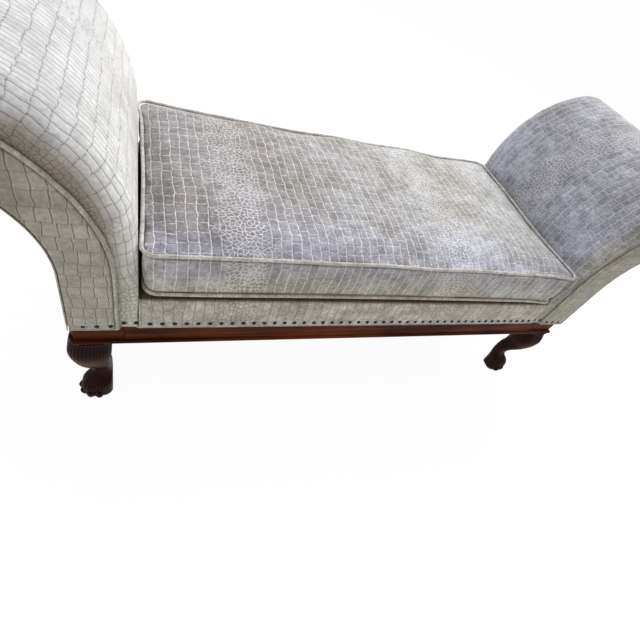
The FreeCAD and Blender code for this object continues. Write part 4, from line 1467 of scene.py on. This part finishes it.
@dataclass
class LooseCushion:
    """Loose box cushion with piped seams."""

    closing: BackZip
    top_velvet: bpy.types.Material
    border_velvet: bpy.types.Material
    cord_velvet: bpy.types.Material
    base_velvet: bpy.types.Material
    corner: float = 0.026
    draw: float = 0.004
    voxel: float = 0.006
    pressure: float = 3.2
    most_move: float = 0.010
    sim_steps: int = 20
    held_rim: float = 0.014
    waviness: float = 0.0022
    ears: Tuple[float, float, float, float] = (0.0, 0.008, 0.002, 0.011)
    ear_reach: float = 0.065
    crown: float = 0.013
    end_push: float = 0.005
    crown_rise: float = 0.008
    crown_reach: float = 0.05
    seam_fill: float = 0.0035
    fill_reach: float = 0.009
    corner_lift: float = 0.004
    lift_reach: float = 0.09
    rim_reach: float = 0.02
    fall_rise: float = 0.03
    half_rise: float = 0.05
    end_reach: float = 0.12
    back_start: float = 0.05
    back_run: float = 0.25
    end_lean: float = 0.75
    border_lean: float = 0.8
    back_drop: float = 0.006
    back_reach: float = 0.022
    deck_gap: float = 0.0008
    cord_gap: float = 0.0003
    corner_steps: int = 12
    side_steps: int = 60

    def __post_init__(self) -> None:
        """Read the cushion's sizes from the frame."""
        low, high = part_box("cushion_border")
        self.low_seam, self.high_seam = low[2], high[2]
        cord_low, cord_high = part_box("cushion_top_piping")
        self.cord = (cord_high[2] - cord_low[2]) / 2
        self.half_length = cord_high[0] - self.cord
        self.half_depth = cord_high[1] - self.cord
        self.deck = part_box("seat_cover")[1][2]

    def drift(self, points: Array) -> Array:
        """Shift of the hand-sewn seams from true, the same for cover and piping.

        Args:
            points: rows of x, y and z.

        Returns:
            One shift per row.
        """
        above = points[:, 2] - self.deck
        fall = ramp(above, self.fall_rise)
        waves = [ripple(points, *wave) for wave in ((0.31, 1.3), (0.27, 2.1), (0.35, 3.4))]
        shift = self.waviness * np.c_[tuple(waves)] * np.c_[0.4 * fall, fall, fall * 0.8]
        for (sx, sy), ear in zip(((-1, -1), (-1, 1), (1, 1), (1, -1)), self.ears):
            away = points[:, :2] - np.array((sx * self.half_length, sy * self.half_depth))
            near = np.exp(-(np.linalg.norm(away, axis=1) / self.ear_reach) ** 2)
            pull = ear * near * np.clip(fall, 0.8, 1.0)
            shift[:, :2] += pull[:, None] * np.array((0.7 * sx, 1.0 * sy))
        beside = np.array((self.half_length, self.half_depth)) - np.abs(points[:, :2])
        near_end = 1.0 - ramp(beside[:, 0], self.end_reach)
        shift[:, 0] += np.sign(points[:, 0]) * self.end_push * near_end * np.clip(fall, 0.3, 1.0)
        rim = np.exp(-(np.clip(beside.min(axis=1), 0.0, None) / self.rim_reach) ** 2)
        corner = np.exp(-(beside ** 2).sum(axis=1) / self.lift_reach ** 2)
        low = 1.0 - ramp(above, self.half_rise)
        shift[:, 2] += low * rim * self.corner_lift * corner
        rear = np.exp(-((self.half_depth - points[:, 1]) / self.back_reach) ** 2)
        rear *= ramp(points[:, 0] + self.half_length - self.back_start, self.back_run)
        shift[:, 2] -= self.back_drop * rear * ramp(above - self.half_rise, self.half_rise)
        return shift

    def cover(self) -> bpy.types.Object:
        """Swollen cover made by cloth simulation from the cushion's core.

        Returns:
            The piece.
        """
        piece = node_copy("cushion_core", "cushion_velvet")
        piece.data.remesh_voxel_size = self.voxel
        pick(piece)
        bpy.ops.object.voxel_remesh()
        start = read_points(piece)
        self.swell(piece, start)
        points = read_points(piece)
        fill = self.seam_fill * np.exp(-((points[:, 2] - self.low_seam) / self.fill_reach) ** 2)
        points[:, :2] += fill[:, None] * read_normals(piece)[:, :2]
        points += self.drift(points)
        top = ramp(points[:, 2] - self.high_seam, self.crown_rise)
        inward = ramp(self.half_depth - np.abs(points[:, 1]), self.crown_reach)
        inward *= ramp(self.half_length - np.abs(points[:, 0]), self.crown_reach)
        points[:, 2] += self.crown * top * np.sin(inward * math.pi / 2)
        points[:, 2] = np.maximum(points[:, 2], self.deck + self.deck_gap)
        write_points(piece, self.closing.press(points))
        self.map_cloth(piece)
        smooth(piece, CLOTH_CREASE)
        nodes = ("cushion_core", "cushion_top", "cushion_base", "cushion_border")
        set_out(piece, Body.CUSHION, self.top_velvet, nodes)
        self.dress_border(piece)
        return piece

    def swell(self, piece: bpy.types.Object, start: Array) -> None:
        """Blow the cover up between its pinned seams, and cap how far it moves.

        Args:
            piece: remeshed cover.
            start: its vertices before the swelling.
        """
        rim = np.array(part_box("cushion_core")[1][:2]) - self.held_rim
        near_edge = (np.abs(start[:, :2]) > rim).any(axis=1)
        to_seams = np.abs(start[:, 2:] - np.array((self.low_seam, self.high_seam)))
        held = np.nonzero(near_edge & (to_seams.min(axis=1) < self.voxel))[0]
        group = piece.vertex_groups.new(name="seams")
        group.add(held.tolist(), 1.0, "REPLACE")
        pick(piece)
        modifier = piece.modifiers.new("cloth", "CLOTH")
        settings = modifier.settings
        settings.quality = 5
        settings.mass = 0.3
        settings.tension_stiffness = settings.compression_stiffness = 12.0
        settings.bending_stiffness = 0.6
        settings.use_pressure = True
        settings.uniform_pressure_force = self.pressure
        settings.vertex_group_mass = group.name
        settings.effector_weights.gravity = 0.0
        scene = bpy.context.scene
        for number in range(self.sim_steps):
            scene.frame_set(number + 1)
        view = bpy.context.evaluated_depsgraph_get()
        swollen = piece.evaluated_get(view).to_mesh()
        flat = np.empty(len(swollen.vertices) * 3)
        swollen.vertices.foreach_get("co", flat)
        moved = flat.reshape(-1, 3) - start
        piece.evaluated_get(view).to_mesh_clear()
        piece.modifiers.remove(modifier)
        piece.vertex_groups.clear()
        scene.frame_set(1)
        length = np.linalg.norm(moved, axis=1)
        moved *= np.minimum(1.0, self.most_move / np.maximum(length, 1e-9))[:, None]
        write_points(piece, start + moved)
        LOG.info("cushion swelled by up to %.1f mm", 1000 * min(length.max(), self.most_move))

    def map_cloth(self, piece: bpy.types.Object) -> None:
        """Lay the cloth map over the top and down the sides.

        Args:
            piece: the cover.
        """
        points = read_points(piece)
        cloth = np.c_[points[:, 0], points[:, 1] + points[:, 2]]
        write_cloth(piece, cloth)
        layer = piece.data.uv_layers[CLOTH].data
        for face in piece.data.polygons:
            if abs(face.normal.x) > self.end_lean:
                for corner in face.loop_indices:
                    place = points[piece.data.loops[corner].vertex_index]
                    layer[corner].uv = (place[0] + place[2], place[1])

    def dress_border(self, piece: bpy.types.Object) -> None:
        """Give the sides their own copy of the velvet, painted for the light on the sides.

        Args:
            piece: the cover.
        """
        piece.data.materials.append(self.border_velvet)
        for face in piece.data.polygons:
            between = self.low_seam < face.center.z < self.high_seam
            upright = abs(face.normal.z) < self.border_lean
            face.material_index = 1 if between and upright else 0

    def seam_ring(self, height: float) -> Array:
        """Path of a piped seam: drawn-in sides and round corners.

        Args:
            height: height of the seam.

        Returns:
            Rows of x, y and z.
        """
        a, b, r = self.half_length, self.half_depth, self.corner
        ring: List[Tuple[float, float]] = []
        for sx, sy in ((1, 1), (-1, 1), (-1, -1), (1, -1)):
            along_x = sx * sy > 0
            for step in range(self.corner_steps + 1):
                share = step / self.corner_steps
                turn = math.pi / 2 * (share if along_x else 1 - share)
                ring.append((sx * (a - r + r * math.cos(turn)), sy * (b - r + r * math.sin(turn))))
            for step in range(1, self.side_steps):
                share = 1 - 2 * step / self.side_steps
                drawn = self.draw * (1 - share ** 2)
                if along_x:
                    ring.append((sx * share * (a - r), sy * (b - drawn)))
                else:
                    ring.append((sx * (a - drawn), sy * share * (b - r)))
        flat = np.array(ring)
        return np.c_[flat, np.full(len(flat), height)]

    def cords(self) -> None:
        """Piping round the top and base seams."""
        for name, finish in (("top", self.cord_velvet), ("base", self.base_velvet)):
            node = f"cushion_{name}_piping"
            path = self.seam_ring(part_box(node)[0][2] + self.cord)
            path += self.drift(path)
            path[:, 2] = np.maximum(path[:, 2], self.deck + self.cord + self.cord_gap)
            piece = tube(f"cushion_{name}_cord", path, self.cord, True)
            set_out(piece, Body.CUSHION, finish, (node,))

    def build(self) -> None:
        """Make the cushion's cover, piping and zip."""
        self.cover()
        self.cords()
        self.closing.build()


# Woodwork

@dataclass
class CarvedLeg:
    """Cabriole leg with a fluted knee and a hairy paw."""

    end: int
    side: int
    wood: bpy.types.Material
    voxel: float = 0.0017
    depth: float = 0.078
    slimming: Tuple[Tuple[float, float, float], ...] = (
        (0.0, 0.0, 0.0), (0.04, 0.006, 0.003), (0.27, 0.010, 0.005), (0.37, 0.016, 0.005),
        (0.46, 0.016, 0.005), (0.54, 0.013, 0.006), (0.66, 0.013, 0.010), (0.79, 0.014, 0.011),
        (0.88, 0.015, 0.013), (1.0, 0.016, 0.011))
    block_setback: float = 0.004
    cover_lap: float = 0.003
    paw_start: float = 0.62
    sole: float = 0.004
    core: float = -0.040
    carved_half_turn: float = 112.0
    carved_fade: float = 22.0
    gather: float = 0.5
    flute_count: float = 23.0
    flute_depth: float = 0.0019
    flute_waver: Tuple[float, float, float] = (0.10, 19.0, 0.05)
    toe_softening: int = 10
    hair_count: float = 13.0
    hair_depth: float = 0.0017
    hair_waver: Tuple[float, float, float] = (0.22, 26.0, 0.09)
    hair_start: float = 0.61
    ridge_power: float = 0.7
    highlight_drop: float = 0.34
    highlight_reach: float = 0.10
    highlight_turn: float = 60.0

    def __post_init__(self) -> None:
        """Read the leg's place from the frame."""
        face, hand = "front" if self.end < 0 else "rear", "left" if self.side < 0 else "right"
        self.name = f"{face}_{hand}_leg"
        self.rail_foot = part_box("front_rail")[0][2]
        self.block_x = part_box("right_end_rail")[1][0] - self.block_setback
        self.block_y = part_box("rear_rail")[1][1] - self.block_setback
        self.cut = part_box("seat_cover")[0][2] + self.cover_lap

    def blank(self) -> bpy.types.Object:
        """Close-meshed copy of the leg, cut off where the covers hide it.

        Returns:
            The piece.
        """
        piece = node_copy(self.name, f"{self.name}_carved")
        pick(piece)
        bpy.ops.object.mode_set(mode="EDIT")
        bpy.ops.mesh.select_all(action="SELECT")
        bpy.ops.mesh.bisect(plane_co=(0.0, 0.0, self.cut), plane_no=(0.0, 0.0, 1.0),
                            use_fill=True, clear_outer=True)
        bpy.ops.object.mode_set(mode="OBJECT")
        piece.data.remesh_voxel_size = self.voxel
        bpy.ops.object.voxel_remesh()
        height = read_points(piece)[:, 2]
        paw = (height < (1 - self.paw_start) * self.rail_foot) & (height > self.sole)
        paw = np.nonzero(paw)[0]
        piece.vertex_groups.new(name="paw").add(paw.tolist(), 1.0, "REPLACE")
        apply_modifier(piece, "SMOOTH", factor=0.5, iterations=self.toe_softening, vertex_group="paw")
        return piece

    def carve(self, piece: bpy.types.Object) -> None:
        """Cut flutes in the knee and hair in the paw, and store the carving's depth and the share of
        a painted highlight on the knee.

        Args:
            piece: the blank.
        """
        points = read_points(piece)
        normals = read_normals(piece)
        a = self.side * points[:, 0] - self.block_x
        b = self.end * points[:, 1] - self.block_y
        drop = (self.rail_foot - points[:, 2]) / self.rail_foot
        shares, inner, outer_face = np.array(self.slimming).T
        for axis, sign, reach in ((0, self.side, a), (1, self.end, b)):
            place = np.clip(1.0 + reach / self.depth, 0.0, 1.0)
            inwards = np.interp(drop, shares, inner)
            outwards = np.interp(drop, shares, outer_face) if axis == 0 else 0.0
            points[:, axis] += sign * (inwards * (1.0 - place) + outwards * place)
        angle = np.degrees(np.arctan2(b - self.core, a - self.core)) - 45.0
        outer = ramp(self.carved_half_turn - np.abs(angle), self.carved_fade)
        knee = ramp(drop + 0.02, 0.06) * ramp(self.paw_start - drop, 0.10)
        paw = ramp(drop - 0.60, 0.07) * ramp(0.99 - drop, 0.06)
        gather = 1.0 + self.gather * ramp(drop, 0.6) ** 1.5
        cuts = []
        for turns, waver in ((self.flute_count * angle * gather, self.flute_waver),
                             (self.hair_count * angle, self.hair_waver)):
            amount, runs, twist = waver
            sway = amount * np.sin(drop * runs + angle * twist)
            cuts.append(np.abs(np.sin(math.pi * (turns / 180.0 + sway))) ** self.ridge_power)
        ridge = np.where(drop < self.hair_start, *cuts)
        depth = outer * (self.flute_depth * knee + self.hair_depth * paw)
        points -= normals * (depth * (1.0 - ridge))[:, None]
        points[:, 2] = np.maximum(points[:, 2], 0.0)
        write_points(piece, points)
        carved = 1.0 - outer * np.maximum(knee, paw) * (1.0 - ridge)
        # Share of a painted highlight on the knee's outer face, strongest about a third of the way
        # down.
        highlight_share = np.exp(-((drop - self.highlight_drop) / self.highlight_reach) ** 2)
        highlight_share = outer * highlight_share * np.exp(-(angle / self.highlight_turn) ** 2)
        for name, values in (("carving", carved), ("highlight_share", highlight_share)):
            piece.data.attributes.new(name, "FLOAT", "POINT").data.foreach_set("value", values)

    def build(self) -> None:
        """Make the carved leg."""
        piece = self.blank()
        self.carve(piece)
        smooth(piece, 50.0)
        set_out(piece, Body.BENCH, self.wood, (self.name,))


@dataclass
class PlainNodes:
    """CAD nodes that keep their shape and take a finish."""

    finishes: Dict[str, bpy.types.Material]
    nose_rise: float = 0.0025

    def build(self) -> None:
        """Assign each node's finish by its record slot, and turn the woods' grain."""
        for part in frame["record"]["subparts"]:
            self.dress((part["node"],), self.finishes[part["material_slot"]])
        self.turn_wood()

    def dress(self, nodes: Sequence[str], finish: bpy.types.Material) -> None:
        """Give some nodes a finish of their own.

        Args:
            nodes: names of the nodes.
            finish: their material.
        """
        for name in nodes:
            frame["nodes"][name].data.materials.clear()
            frame["nodes"][name].data.materials.append(finish)

    def turn_wood(self) -> None:
        """Cut the end rails' grain across, and paint a highlight along the noses of the beads."""
        across = Mahogany("mahogany_end", RAIL_DARK, RAIL_LIGHT, Grain.DEPTH).make()
        self.dress(("left_end_rail", "right_end_rail"), across)
        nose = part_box("front_bead")[0][2] + self.nose_rise
        for name, grain, ends in (("long", Grain.LENGTH, ("front", "rear")),
                                  ("short", Grain.DEPTH, ("left", "right"))):
            bead = Mahogany(f"mahogany_{name}_bead", RAIL_DARK, RAIL_LIGHT, grain, nose=nose)
            self.dress([f"{end}_bead" for end in ends], bead.make())


# Studio

@dataclass
class Studio:
    """Plain pale floor, soft lights and the photograph's camera."""

    camera_place: Tuple[float, float, float] = (-0.5683, -0.8959, 1.0830)
    camera_turn: Tuple[float, float, float] = (40.737, -17.511, -14.925)
    lens: float = 23.94
    aim: Tuple[float, float, float] = (0.0, 0.0, 0.4)
    floor_half: float = 40.0
    glow: float = 1.04
    glow_share: float = 0.9
    sky_light: float = 0.55

    def camera(self) -> None:
        """Stand the camera where the photograph was taken."""
        lens = bpy.data.cameras.new("photo_camera")
        lens.lens = self.lens
        lens.sensor_width = 36.0
        lens.clip_start = 0.02
        holder = bpy.data.objects.new("photo_camera", lens)
        holder.location = self.camera_place
        holder.rotation_euler = Euler([math.radians(turn) for turn in self.camera_turn], "XYZ")
        bpy.context.scene.collection.objects.link(holder)
        bpy.context.scene.camera = holder

    def lamp(self, name: str, place: Sequence[float], size: float, power: float, colour: Rgb) -> None:
        """Hang one soft area lamp aimed at the seat.

        Args:
            name: name of the lamp.
            place: where it hangs.
            size: width of its face.
            power: its watts.
            colour: colour of its light.
        """
        light = bpy.data.lights.new(name, "AREA")
        light.size = size
        light.energy = power
        light.color = colour
        holder = bpy.data.objects.new(name, light)
        holder.location = place
        aim = Vector(self.aim) - Vector(place)
        holder.rotation_euler = aim.to_track_quat("-Z", "Y").to_euler()
        bpy.context.scene.collection.objects.link(holder)

    def floor(self) -> None:
        """Lay a white floor that keeps the bench's shadow."""
        clear_selection()
        bpy.ops.mesh.primitive_plane_add(size=2 * self.floor_half)
        plane = bpy.context.object
        plane.name = plane.data.name = "studio_floor"
        kit = Palette("studio_white")
        tree = kit.tree
        tree.nodes.remove(kit.shader)
        seen = self.seen_straight(kit)
        diffuse = kit.node("BsdfDiffuse", {"Color": rgba((0.86, 0.86, 0.86))}).outputs[0]
        glow = kit.node("Emission", {"Color": WHITE, "Strength": self.glow}).outputs[0]
        share = kit.times(seen, self.glow_share)
        mixed = kit.node("MixShader", {0: share, 1: diffuse, 2: glow}).outputs[0]
        kit.feed(tree.nodes["Material Output"].inputs[0], mixed)
        plane.data.materials.append(kit.material)

    def seen_straight(self, kit: Palette) -> bpy.types.NodeSocket:
        """Give 1 where the camera, a reflection or a clear piece sees the surface.

        Args:
            kit: material being wired.

        Returns:
            1 where it is seen so, and 0 elsewhere.
        """
        path = kit.node("LightPath").outputs
        seen = kit.math("MAXIMUM", path["Is Camera Ray"], path["Is Glossy Ray"])
        return kit.math("MAXIMUM", seen, path["Is Transmission Ray"])

    def sky(self) -> None:
        """Light the room evenly and show white behind the bench."""
        world = bpy.data.worlds.new("studio_sky")
        bpy.context.scene.world = world
        world.use_nodes = True
        nodes, links = world.node_tree.nodes, world.node_tree.links
        path = nodes.new("ShaderNodeLightPath")
        level = nodes.new("ShaderNodeMapRange")
        level.inputs["To Min"].default_value = self.sky_light
        level.inputs["To Max"].default_value = 1.0
        seen = path.outputs["Is Camera Ray"]
        for kind in ("Is Glossy Ray", "Is Transmission Ray"):
            most = nodes.new("ShaderNodeMath")
            most.operation = "MAXIMUM"
            links.new(seen, most.inputs[0])
            links.new(path.outputs[kind], most.inputs[1])
            seen = most.outputs[0]
        links.new(seen, level.inputs["Value"])
        background = nodes["Background"]
        background.inputs["Color"].default_value = WHITE
        links.new(level.outputs[0], background.inputs["Strength"])

    def build(self) -> None:
        """Set up the whole studio."""
        self.camera()
        self.floor()
        self.sky()
        self.lamp("key", (2.2, 1.4, 2.9), 2.2, 112.0, (1.0, 0.985, 0.97))
        self.lamp("fill", (-2.4, -2.6, 2.4), 2.6, 34.0, (1.0, 0.99, 0.96))
        self.lamp("rim", (-0.4, 3.0, 2.3), 2.2, 60.0, (1.0, 1.0, 1.0))
        bpy.context.scene.view_settings.view_transform = "Standard"


def make_finishes() -> Dict[str, bpy.types.Material]:
    """Make every finish that a whole record slot shares.

    Returns:
        Materials by record slot.
    """
    finishes = {
        "velvet": CrocVelvet("velvet_plain", (0.36, 0.345, 0.32), (0.28, 0.265, 0.24),
                             (0.10, 0.09, 0.075), (0.55, 0.52, 0.46)),
        "piping": CordVelvet("velvet_cord", (0.60, 0.57, 0.54), (0.43, 0.40, 0.365)),
        "show_wood": Mahogany("mahogany_rail", RAIL_DARK, RAIL_LIGHT, Grain.LENGTH),
        "leg_wood": Mahogany("mahogany_leg", (0.014, 0.006, 0.004), (0.05, 0.02, 0.01),
                             Grain.UPRIGHT),
        "frame_wood": Mahogany("beech_frame", (0.40, 0.27, 0.15), (0.55, 0.40, 0.24), Grain.LENGTH,
                               roughness=0.6, polish=0.0),
        "webbing": PlainWeave("jute_webbing", (0.34, 0.25, 0.15), (0.24, 0.17, 0.10), 0.003),
        "hessian": PlainWeave("hessian_cloth", (0.40, 0.30, 0.17), (0.29, 0.21, 0.12), 0.002),
        "stuffing": PlainWeave("wadding", (0.62, 0.57, 0.48), (0.55, 0.50, 0.42), 0.006),
        "dust_cloth": PlainWeave("bottom_cloth", (0.020, 0.020, 0.022), (0.012, 0.012, 0.013),
                                 0.0016),
        "nails": AgedMetal("bronze_nails", (0.020, 0.014, 0.010), (0.10, 0.066, 0.04)),
        "zip_tape": PlainWeave("zip_cloth", (0.20, 0.19, 0.175), (0.15, 0.14, 0.13), 0.0012),
        "zip_metal": AgedMetal("zip_brass", (0.20, 0.14, 0.06), (0.42, 0.32, 0.15)),
    }
    return {slot: finish.make() for slot, finish in finishes.items()}


def make_arm_velvets() -> Tuple[bpy.types.Material, bpy.types.Material, bpy.types.Material]:
    """Make the velvets of the left arm, the right arm and the facings, copies of one velvet with
    their tones and line colours painted for the light on each part.

    Returns:
        The three materials, in that order.
    """
    # Left arm: painted as the lit side, far paler than the right arm's copy. Its washes paint shade
    # in the crease above the piping and over the top of the roll, make it darker and warmer low by
    # the seat, and take the roll's far side back down towards the right arm's tone.
    left = CrocVelvet(
        "velvet_left_arm", (0.76, 0.76, 0.745), (0.67, 0.665, 0.645),
        (0.17, 0.155, 0.135), (0.24, 0.22, 0.195),
        line_strength=0.70, cross_strength=0.75, rim_strength=0.15,
        small_centre=-0.345, small_share=0.13, small_foot=0.10,
        scale_width=0.0138, line_width=0.0014, stagger=0.10, row_shift=0.15,
        sparkle=0.12, mottle=0.45,
        washes=(Wash(Way.ACROSS, 0.278, 0.328, (0.40, 0.35, 0.29), mirrored=True, foot_share=0.30),
                Wash(Way.ALONG, 0.24, 0.08, (0.80, 0.80, 0.72)),
                Wash(Way.ALONG, 0.30, 0.52, (0.83, 0.83, 0.875)),
                Wash(Way.ALONG, 0.53, 0.68, (0.66, 0.65, 0.61))))
    # Right arm: painted as the shaded side, darker and bluer than the left arm's copy. Its washes
    # make it warmer towards the piping, paint shade over the top of the roll, and lift the roll's far
    # side towards the left arm's tone.
    right = CrocVelvet(
        "velvet_right_arm", (0.335, 0.345, 0.40), (0.24, 0.245, 0.275),
        (0.62, 0.62, 0.64), (0.62, 0.62, 0.64),
        line_strength=0.75, cross_strength=0.5, small_centre=0.02, small_share=0.25, cell_tone=0.10,
        washes=(Wash(Way.ACROSS, 0.25, 0.30, (0.98, 0.93, 0.76), mirrored=True),
                Wash(Way.ALONG, 0.28, 0.48, (0.84, 0.83, 0.82)),
                Wash(Way.ALONG, 0.58, 0.70, (1.30, 1.24, 1.08))))
    # Facings: a wash paints shade over their upper, outward part under the roll.
    facing = CrocVelvet(
        "velvet_facing", (0.39, 0.365, 0.305), (0.325, 0.305, 0.25),
        (0.075, 0.06, 0.045), (0.17, 0.15, 0.115),
        line_strength=0.85, cross_strength=0.55, rim_strength=0.14,
        small_centre=0.5, small_share=0.05, row_shift=0.3, stagger=0.08, line_width=0.0016,
        sparkle=0.15, mottle=0.6, wandering=0.010,
        washes=(Wash(Way.ACROSS, 0.69, 0.74, (0.80, 0.77, 0.75), mirrored=True),))
    return left.make(), right.make(), facing.make()


def make_seat_velvets() -> Tuple[bpy.types.Material, bpy.types.Material, bpy.types.Material]:
    """Make the velvets of the cushion's top, its border and the seat band, copies of one velvet with
    their tones and line colours painted for the light on each part.

    Returns:
        The three materials, in that order.
    """
    pale = (0.78, 0.76, 0.75)
    low, high = (corner[2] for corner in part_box("cushion_border"))
    runs = {"small_centre": -0.37, "small_share": 0.18, "repeat": 0.55}
    # Top: a wash paints light growing towards the right end, where the lines also fade; another makes
    # it lighter and bluer towards the front.
    top = CrocVelvet(
        "velvet_top", (0.288, 0.277, 0.288), (0.215, 0.197, 0.184), pale, pale,
        line_strength=0.9, cross_strength=0.65, far_lines=0.55, broken=0.35, **runs,
        washes=(Wash(Way.ACROSS, -0.45, 0.45, (1.34, 1.39, 1.37)),
                Wash(Way.ALONG, 0.50, 0.18, (1.13, 1.16, 1.32))))
    # Border: lighter and warmer towards the foot of the front; washes paint a shadow under the top
    # piping and shade in the crease above the base cord.
    border = CrocVelvet(
        "velvet_border", (0.355, 0.35, 0.37), (0.30, 0.285, 0.275), pale, pale,
        line_strength=0.75, cross_strength=0.15, **runs,
        washes=(Wash(Way.ALONG, 0.20, 0.12, (1.10, 1.07, 0.93)),
                Wash(Way.UP, high - 0.0130, high - 0.0085, (0.60, 0.56, 0.55)),
                Wash(Way.UP, low + 0.0085, low + 0.0045, (0.42, 0.34, 0.29))))
    # Band: a wash paints the shadow under the cushion, near black at the band's top edge and over the
    # whole deck beneath the cushion.
    band = CrocVelvet(
        "velvet_band", (0.48, 0.455, 0.40), (0.41, 0.385, 0.335),
        (0.13, 0.105, 0.08), (0.18, 0.15, 0.12),
        line_strength=0.75, cross_strength=0.45, **runs,
        washes=(Wash(Way.ALONG, 0.2975, 0.2875, (0.10, 0.065, 0.045), mirrored=True),))
    return top.make(), border.make(), band.make()


def build_legs() -> None:
    """Make the four carved legs."""
    # The last colour is the painted highlight on the knee's ridges.
    carved = CarvedMahogany("mahogany_carved", (0.062, 0.017, 0.006), (0.0022, 0.0009, 0.0006),
                            (0.020, 0.0068, 0.0038), (0.18, 0.055, 0.012),
                            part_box("front_rail")[0][2]).make()
    for end in (-1, 1):
        for side in (-1, 1):
            CarvedLeg(end, side, carved).build()


def main() -> None:
    logging.basicConfig(level=logging.INFO, format="%(name)s %(message)s")
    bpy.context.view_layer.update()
    finishes = make_finishes()
    PlainNodes(finishes).build()
    left, right, facing = make_arm_velvets()
    top, border, band = make_seat_velvets()
    # The arm and base cords are darker copies of the cushion's cord velvet: the arm cord toned down
    # to the facings, the base cord with painted shade for its place under the cushion's edge.
    arm_cord = CordVelvet("velvet_arm_cord", (0.45, 0.42, 0.36), (0.32, 0.295, 0.25)).make()
    base_cord = CordVelvet("velvet_base_cord", (0.52, 0.475, 0.425), (0.38, 0.335, 0.285)).make()
    ScrollArm(-1, left, facing, arm_cord).build()
    ScrollArm(1, right, facing, arm_cord).build()
    SeatPlatform(band, arm_cord).build()
    BottomCloth(finishes["dust_cloth"]).build()
    closing = BackZip(finishes["zip_tape"], finishes["zip_metal"])
    LooseCushion(closing, top, border, finishes["piping"], base_cord).build()
    build_legs()
    Studio().build()


if __name__ == "__main__":
    main()
